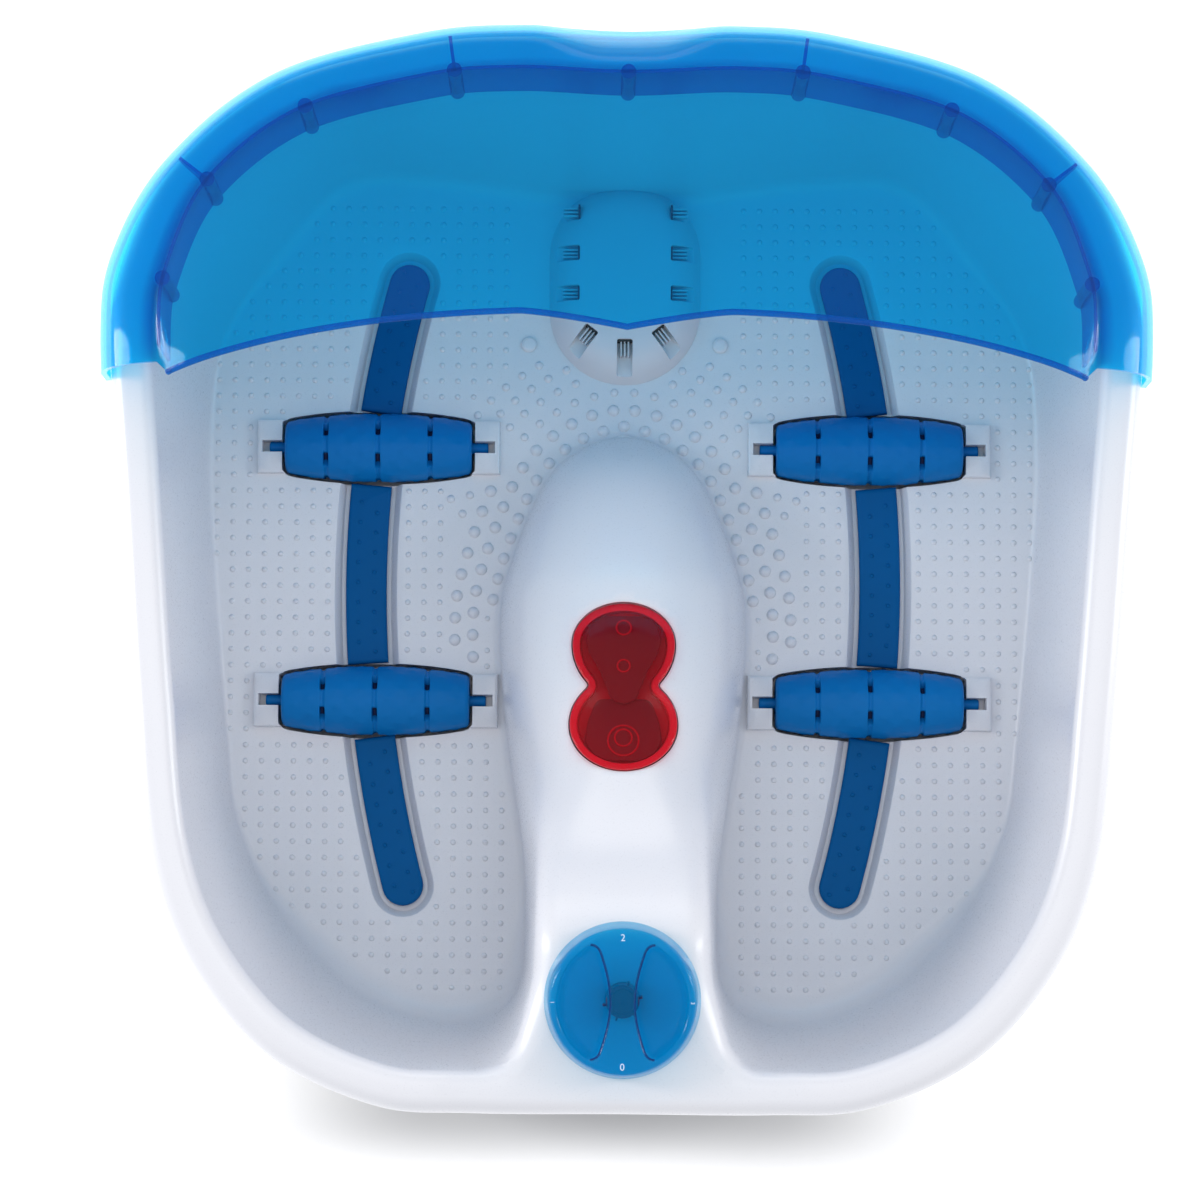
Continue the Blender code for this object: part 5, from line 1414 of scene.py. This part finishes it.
def make_base_cover():
    low, high = corners("base_cover")
    step_in = RIM_LINE[:, 0].max() - high.x
    cover = Shape()
    rows = []
    for more, z in ((0.8, low.z), (0.0, low.z + 0.8), (0.0, high.z - 0.4), (0.4, high.z)):
        line = inset(RIM_LINE, step_in + more)[::3]
        rows.append(np.column_stack([line, np.full(len(line), z)]))
    cover.grid(rows, close_columns=True, caps=True)
    piece = cover.build("base_plate", [COVER_WHITE], "tub", replaces=["base_cover"], slot="cover_white")
    holes = Shape()
    for side in (-1, 1):
        for k in range(9):
            y = -52 + 9 * k
            holes.block((side * 62 - 24, y - 1.6, low.z - 2), (side * 62 + 24, y + 1.6, high.z + 2), ease=0.9)
    for k in range(11):
        x = -50 + 10 * k
        holes.block((x - 1.6, 72, low.z - 2), (x + 1.6, 104, high.z + 2), ease=0.9)
    for node in FEET + SCREWS:
        where = middle(node)
        radius = 4.2 if node in FEET else 2.3
        profile = [(0.01, low.z - 2), (radius, low.z - 2), (radius, high.z + 2), (0.01, high.z + 2)]
        holes.lathe(profile, steps=24, place=Matrix.Translation((where.x, where.y, 0)))
    carve(piece, holes.build("vent_cutter", [COVER_WHITE], "tub"))
    ribs = Shape()
    for more in (14, 20):
        line = inset(RIM_LINE, step_in + more)[::3]
        ribs.tube(np.column_stack([line, np.full(len(line), low.z)]), 0.7, sides=8, closed=True)
    for node in FEET:
        where = middle(node)
        ribs.tube(np.column_stack([circle(where, 13.5, 56), np.full(56, low.z)]), 0.8, sides=8, closed=True)
    for node in SCREWS:
        where = middle(node)
        ribs.tube(np.column_stack([circle(where, 5.6, 40), np.full(40, low.z)]), 0.6, sides=8, closed=True)
    ribs.build("base_plate_beads", [COVER_WHITE], "tub", slot="cover_white")


def make_feet():
    for node in FEET:
        low, high = corners(node)
        radius = (high.x - low.x) / 2
        profile = [(0.01, 0.5), (2.6, 0.5), (3.0, 0.0)]
        for groove in (4.6, 6.8):
            profile += [(groove - 0.5, 0.0), (groove - 0.25, 0.6), (groove + 0.25, 0.6), (groove + 0.5, 0.0)]
        profile += [(radius - 1.2, 0.0), (radius - 0.4, 0.35), (radius, 1.2), (radius - 0.1, 5.0),
                    (radius - 0.6, 5.6), (3.6, 5.7), (3.6, high.z - 0.4), (3.2, high.z), (0.01, high.z)]
        foot = Shape()
        foot.lathe(profile, steps=56, place=Matrix.Translation((*((low + high) / 2).xy, 0)))
        foot.build(node + "_rubber", [RUBBER], "tub", replaces=[node], slot="rubber", crease=30)


def make_screws():
    for node in SCREWS:
        low, high = corners(node)
        radius = (high.x - low.x) / 2
        head = low.z + 2.5
        profile = [(0.01, low.z), (radius - 1.6, low.z + 0.05), (radius - 0.5, low.z + 0.5),
                   (radius, low.z + 1.2), (radius, head), (1.6, head)]
        for k in range(12):
            z = head + 1.2 + k * 0.75
            if z + 0.4 < high.z - 0.8:
                profile += [(1.25, z), (1.6, z + 0.37)]
        profile += [(1.3, high.z - 0.6), (0.01, high.z)]
        screw = Shape()
        where = ((low + high) / 2).xy
        screw.lathe(profile, steps=32, place=Matrix.Translation((*where, 0)))
        piece = screw.build(node + "_steel", [STEEL], "tub", replaces=[node], slot="steel", crease=30)
        spin = Matrix.Translation((*where, 0)) @ Matrix.Rotation(0.3 * int(node[-1]), 4, "Z")
        for half_x, half_y in ((2.0, 0.42), (0.42, 2.0)):
            slit = Shape()
            slit.block((-half_x, -half_y, low.z - 1), (half_x, half_y, low.z + 1.3), place=spin, ease=0.15)
            carve(piece, slit.build("cross_cutter", [STEEL], "tub"))


def make_gland():
    """Rubber grommet round the cord's way in, at the back of the skirt."""
    low, high = corners("cord_gland")
    centre = (low + high) / 2
    radius = (high.x - low.x) / 2
    reach = high.y - low.y
    profile = [(3.2, 0.0), (4.7, 0.0), (4.7, reach - 2.1), (radius - 0.2, reach - 2.1), (radius, reach - 1.8),
               (radius - 0.2, reach - 1.1), (radius - 1.0, reach - 0.3), (radius - 1.9, reach), (3.7, reach),
               (3.2, reach - 0.5)]
    gland = Shape()
    place = Matrix.Translation((centre.x, low.y, centre.z)) @ Matrix.Rotation(-math.pi / 2, 4, "X")
    gland.lathe(profile, steps=56, place=place, close=True)
    gland.build("cord_gland_rubber", [RUBBER], "tub", replaces=["cord_gland"], slot="rubber", crease=30)


INSIDE_FINISH = {
    "heating_plate": STEEL, "thermostat": BLACK, "lens_seal": RUBBER, "ir_lamp_rear": LAMP_RED,
    "ir_lamp_front": LAMP_RED, "lamp_holder": BLACK, "knob_shaft": BRASS, "rotary_switch": BLACK,
    "shaft_seal": RUBBER, "vibration_motor": STEEL, "motor_cradle": BLACK, "motor_shaft": STEEL,
    "eccentric_weight": BRASS, "air_pump": BLACK, "hose_tee": BLACK, "air_hose_left": HOSE,
    "air_hose_right": HOSE, "terminal_block": BLACK,
}


def finish_inside():
    """The pieces under the floor keep their CAD shape and get their real materials."""
    for node, material in INSIDE_FINISH.items():
        mesh = frame["nodes"][node].data
        mesh.materials.clear()
        mesh.materials.append(material)


# ---------------------------------------------------------------- stage

def make_stage():
    """A white floor with a painted shadow along the tub's front, open beneath the tub so that its underside
    can be looked at.
    """
    low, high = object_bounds()
    size = (high - low).length * 6
    mesh = bpy.data.meshes.new("stage_floor")
    hole = inset(RIM_LINE, FLOOR_HOLE_INSET) * MM
    reach = hole / np.linalg.norm(hole, axis=1)[:, None] * size
    count = len(hole)
    points = [(x, y, 0) for x, y in np.vstack([hole, reach])]
    faces = [(k, (k + 1) % count, (k + 1) % count + count, k + count) for k in range(count)]
    mesh.from_pydata(points, [], faces)
    floor = bpy.data.objects.new("stage_floor", mesh)
    bpy.context.scene.collection.objects.link(floor)
    material, tree, shader = new_material("stage_white")
    shader.inputs["Roughness"].default_value = 0.9
    shader.inputs["Specular IOR Level"].default_value = 0.1
    shader.inputs["Emission Color"].default_value = (1, 1, 1, 1)
    # The floor's colour and glow dim in a painted shadow along the tub's front.
    shade = front_shade(tree)
    white = two_colours(tree, shade, (0.93, 0.93, 0.93), (0.60, 0.60, 0.60))
    tree.links.new(white, shader.inputs["Base Color"])
    tree.links.new(ramp(tree, shade, 0, 1, FLOOR_GLOW, 0.0), shader.inputs["Emission Strength"])
    mesh.materials.append(material)


def front_shade(tree):
    """A painted shadow: a soft darker patch of the floor along the front of the tub, from 0 to 1."""
    place = tree.nodes.new("ShaderNodeTexCoord")
    axes = tree.nodes.new("ShaderNodeSeparateXYZ")
    tree.links.new(place.outputs["Object"], axes.inputs[0])
    share = None
    for axis, start, end in PAINTED_SHADOW_EDGES:
        node = tree.nodes.new("ShaderNodeMapRange")
        node.interpolation_type = "SMOOTHERSTEP"
        node.inputs["From Min"].default_value = start
        node.inputs["From Max"].default_value = end
        tree.links.new(axes.outputs[axis], node.inputs["Value"])
        if share is None:
            share = node.outputs["Result"]
            continue
        both = tree.nodes.new("ShaderNodeMath")
        both.operation = "MULTIPLY"
        tree.links.new(share, both.inputs[0])
        tree.links.new(node.outputs["Result"], both.inputs[1])
        share = both.outputs[0]
    return share


def make_lights():
    world = bpy.data.worlds.new("studio")
    bpy.context.scene.world = world
    world.use_nodes = True
    background = world.node_tree.nodes["Background"]
    background.inputs["Color"].default_value = (0.97, 0.98, 1.0, 1)
    background.inputs["Strength"].default_value = WORLD_LIGHT
    for name, place, aim, width, height, power in SOFTBOXES:
        light = bpy.data.lights.new(name, "AREA")
        light.shape = "RECTANGLE"
        light.size = width
        light.size_y = height
        light.energy = power
        item = bpy.data.objects.new(name, light)
        item.location = place
        item.rotation_euler = (Vector(aim) - Vector(place)).to_track_quat("-Z", "Y").to_euler()
        bpy.context.scene.collection.objects.link(item)


def make_camera():
    """Nearly straight above, a little to the front."""
    tilt = math.radians(CAMERA_ELEVATION)
    camera = bpy.data.objects.new("camera", bpy.data.cameras.new("camera"))
    back = Vector((0, -math.cos(tilt), math.sin(tilt)))
    camera.location = CAMERA_TARGET + back * CAMERA_DISTANCE
    roll = Matrix.Rotation(math.radians(CAMERA_ROLL), 4, "Z")
    camera.rotation_euler = ((-back).to_track_quat("-Z", "Y").to_matrix().to_4x4() @ roll).to_euler()
    camera.data.lens = CAMERA_LENS
    camera.data.sensor_width = 36
    camera.data.clip_start = 0.05
    bpy.context.scene.collection.objects.link(camera)
    bpy.context.scene.camera = camera
    bpy.context.scene.view_settings.view_transform = "Standard"


# ---------------------------------------------------------------- everything

make_tub()
make_floor_pips()
make_air_strips()
make_rollers()
make_heater_cover()
make_plugs()
make_guard()
make_knob()
make_lens()
make_base_cover()
make_feet()
make_screws()
make_gland()
finish_inside()
make_stage()
make_lights()
make_camera()
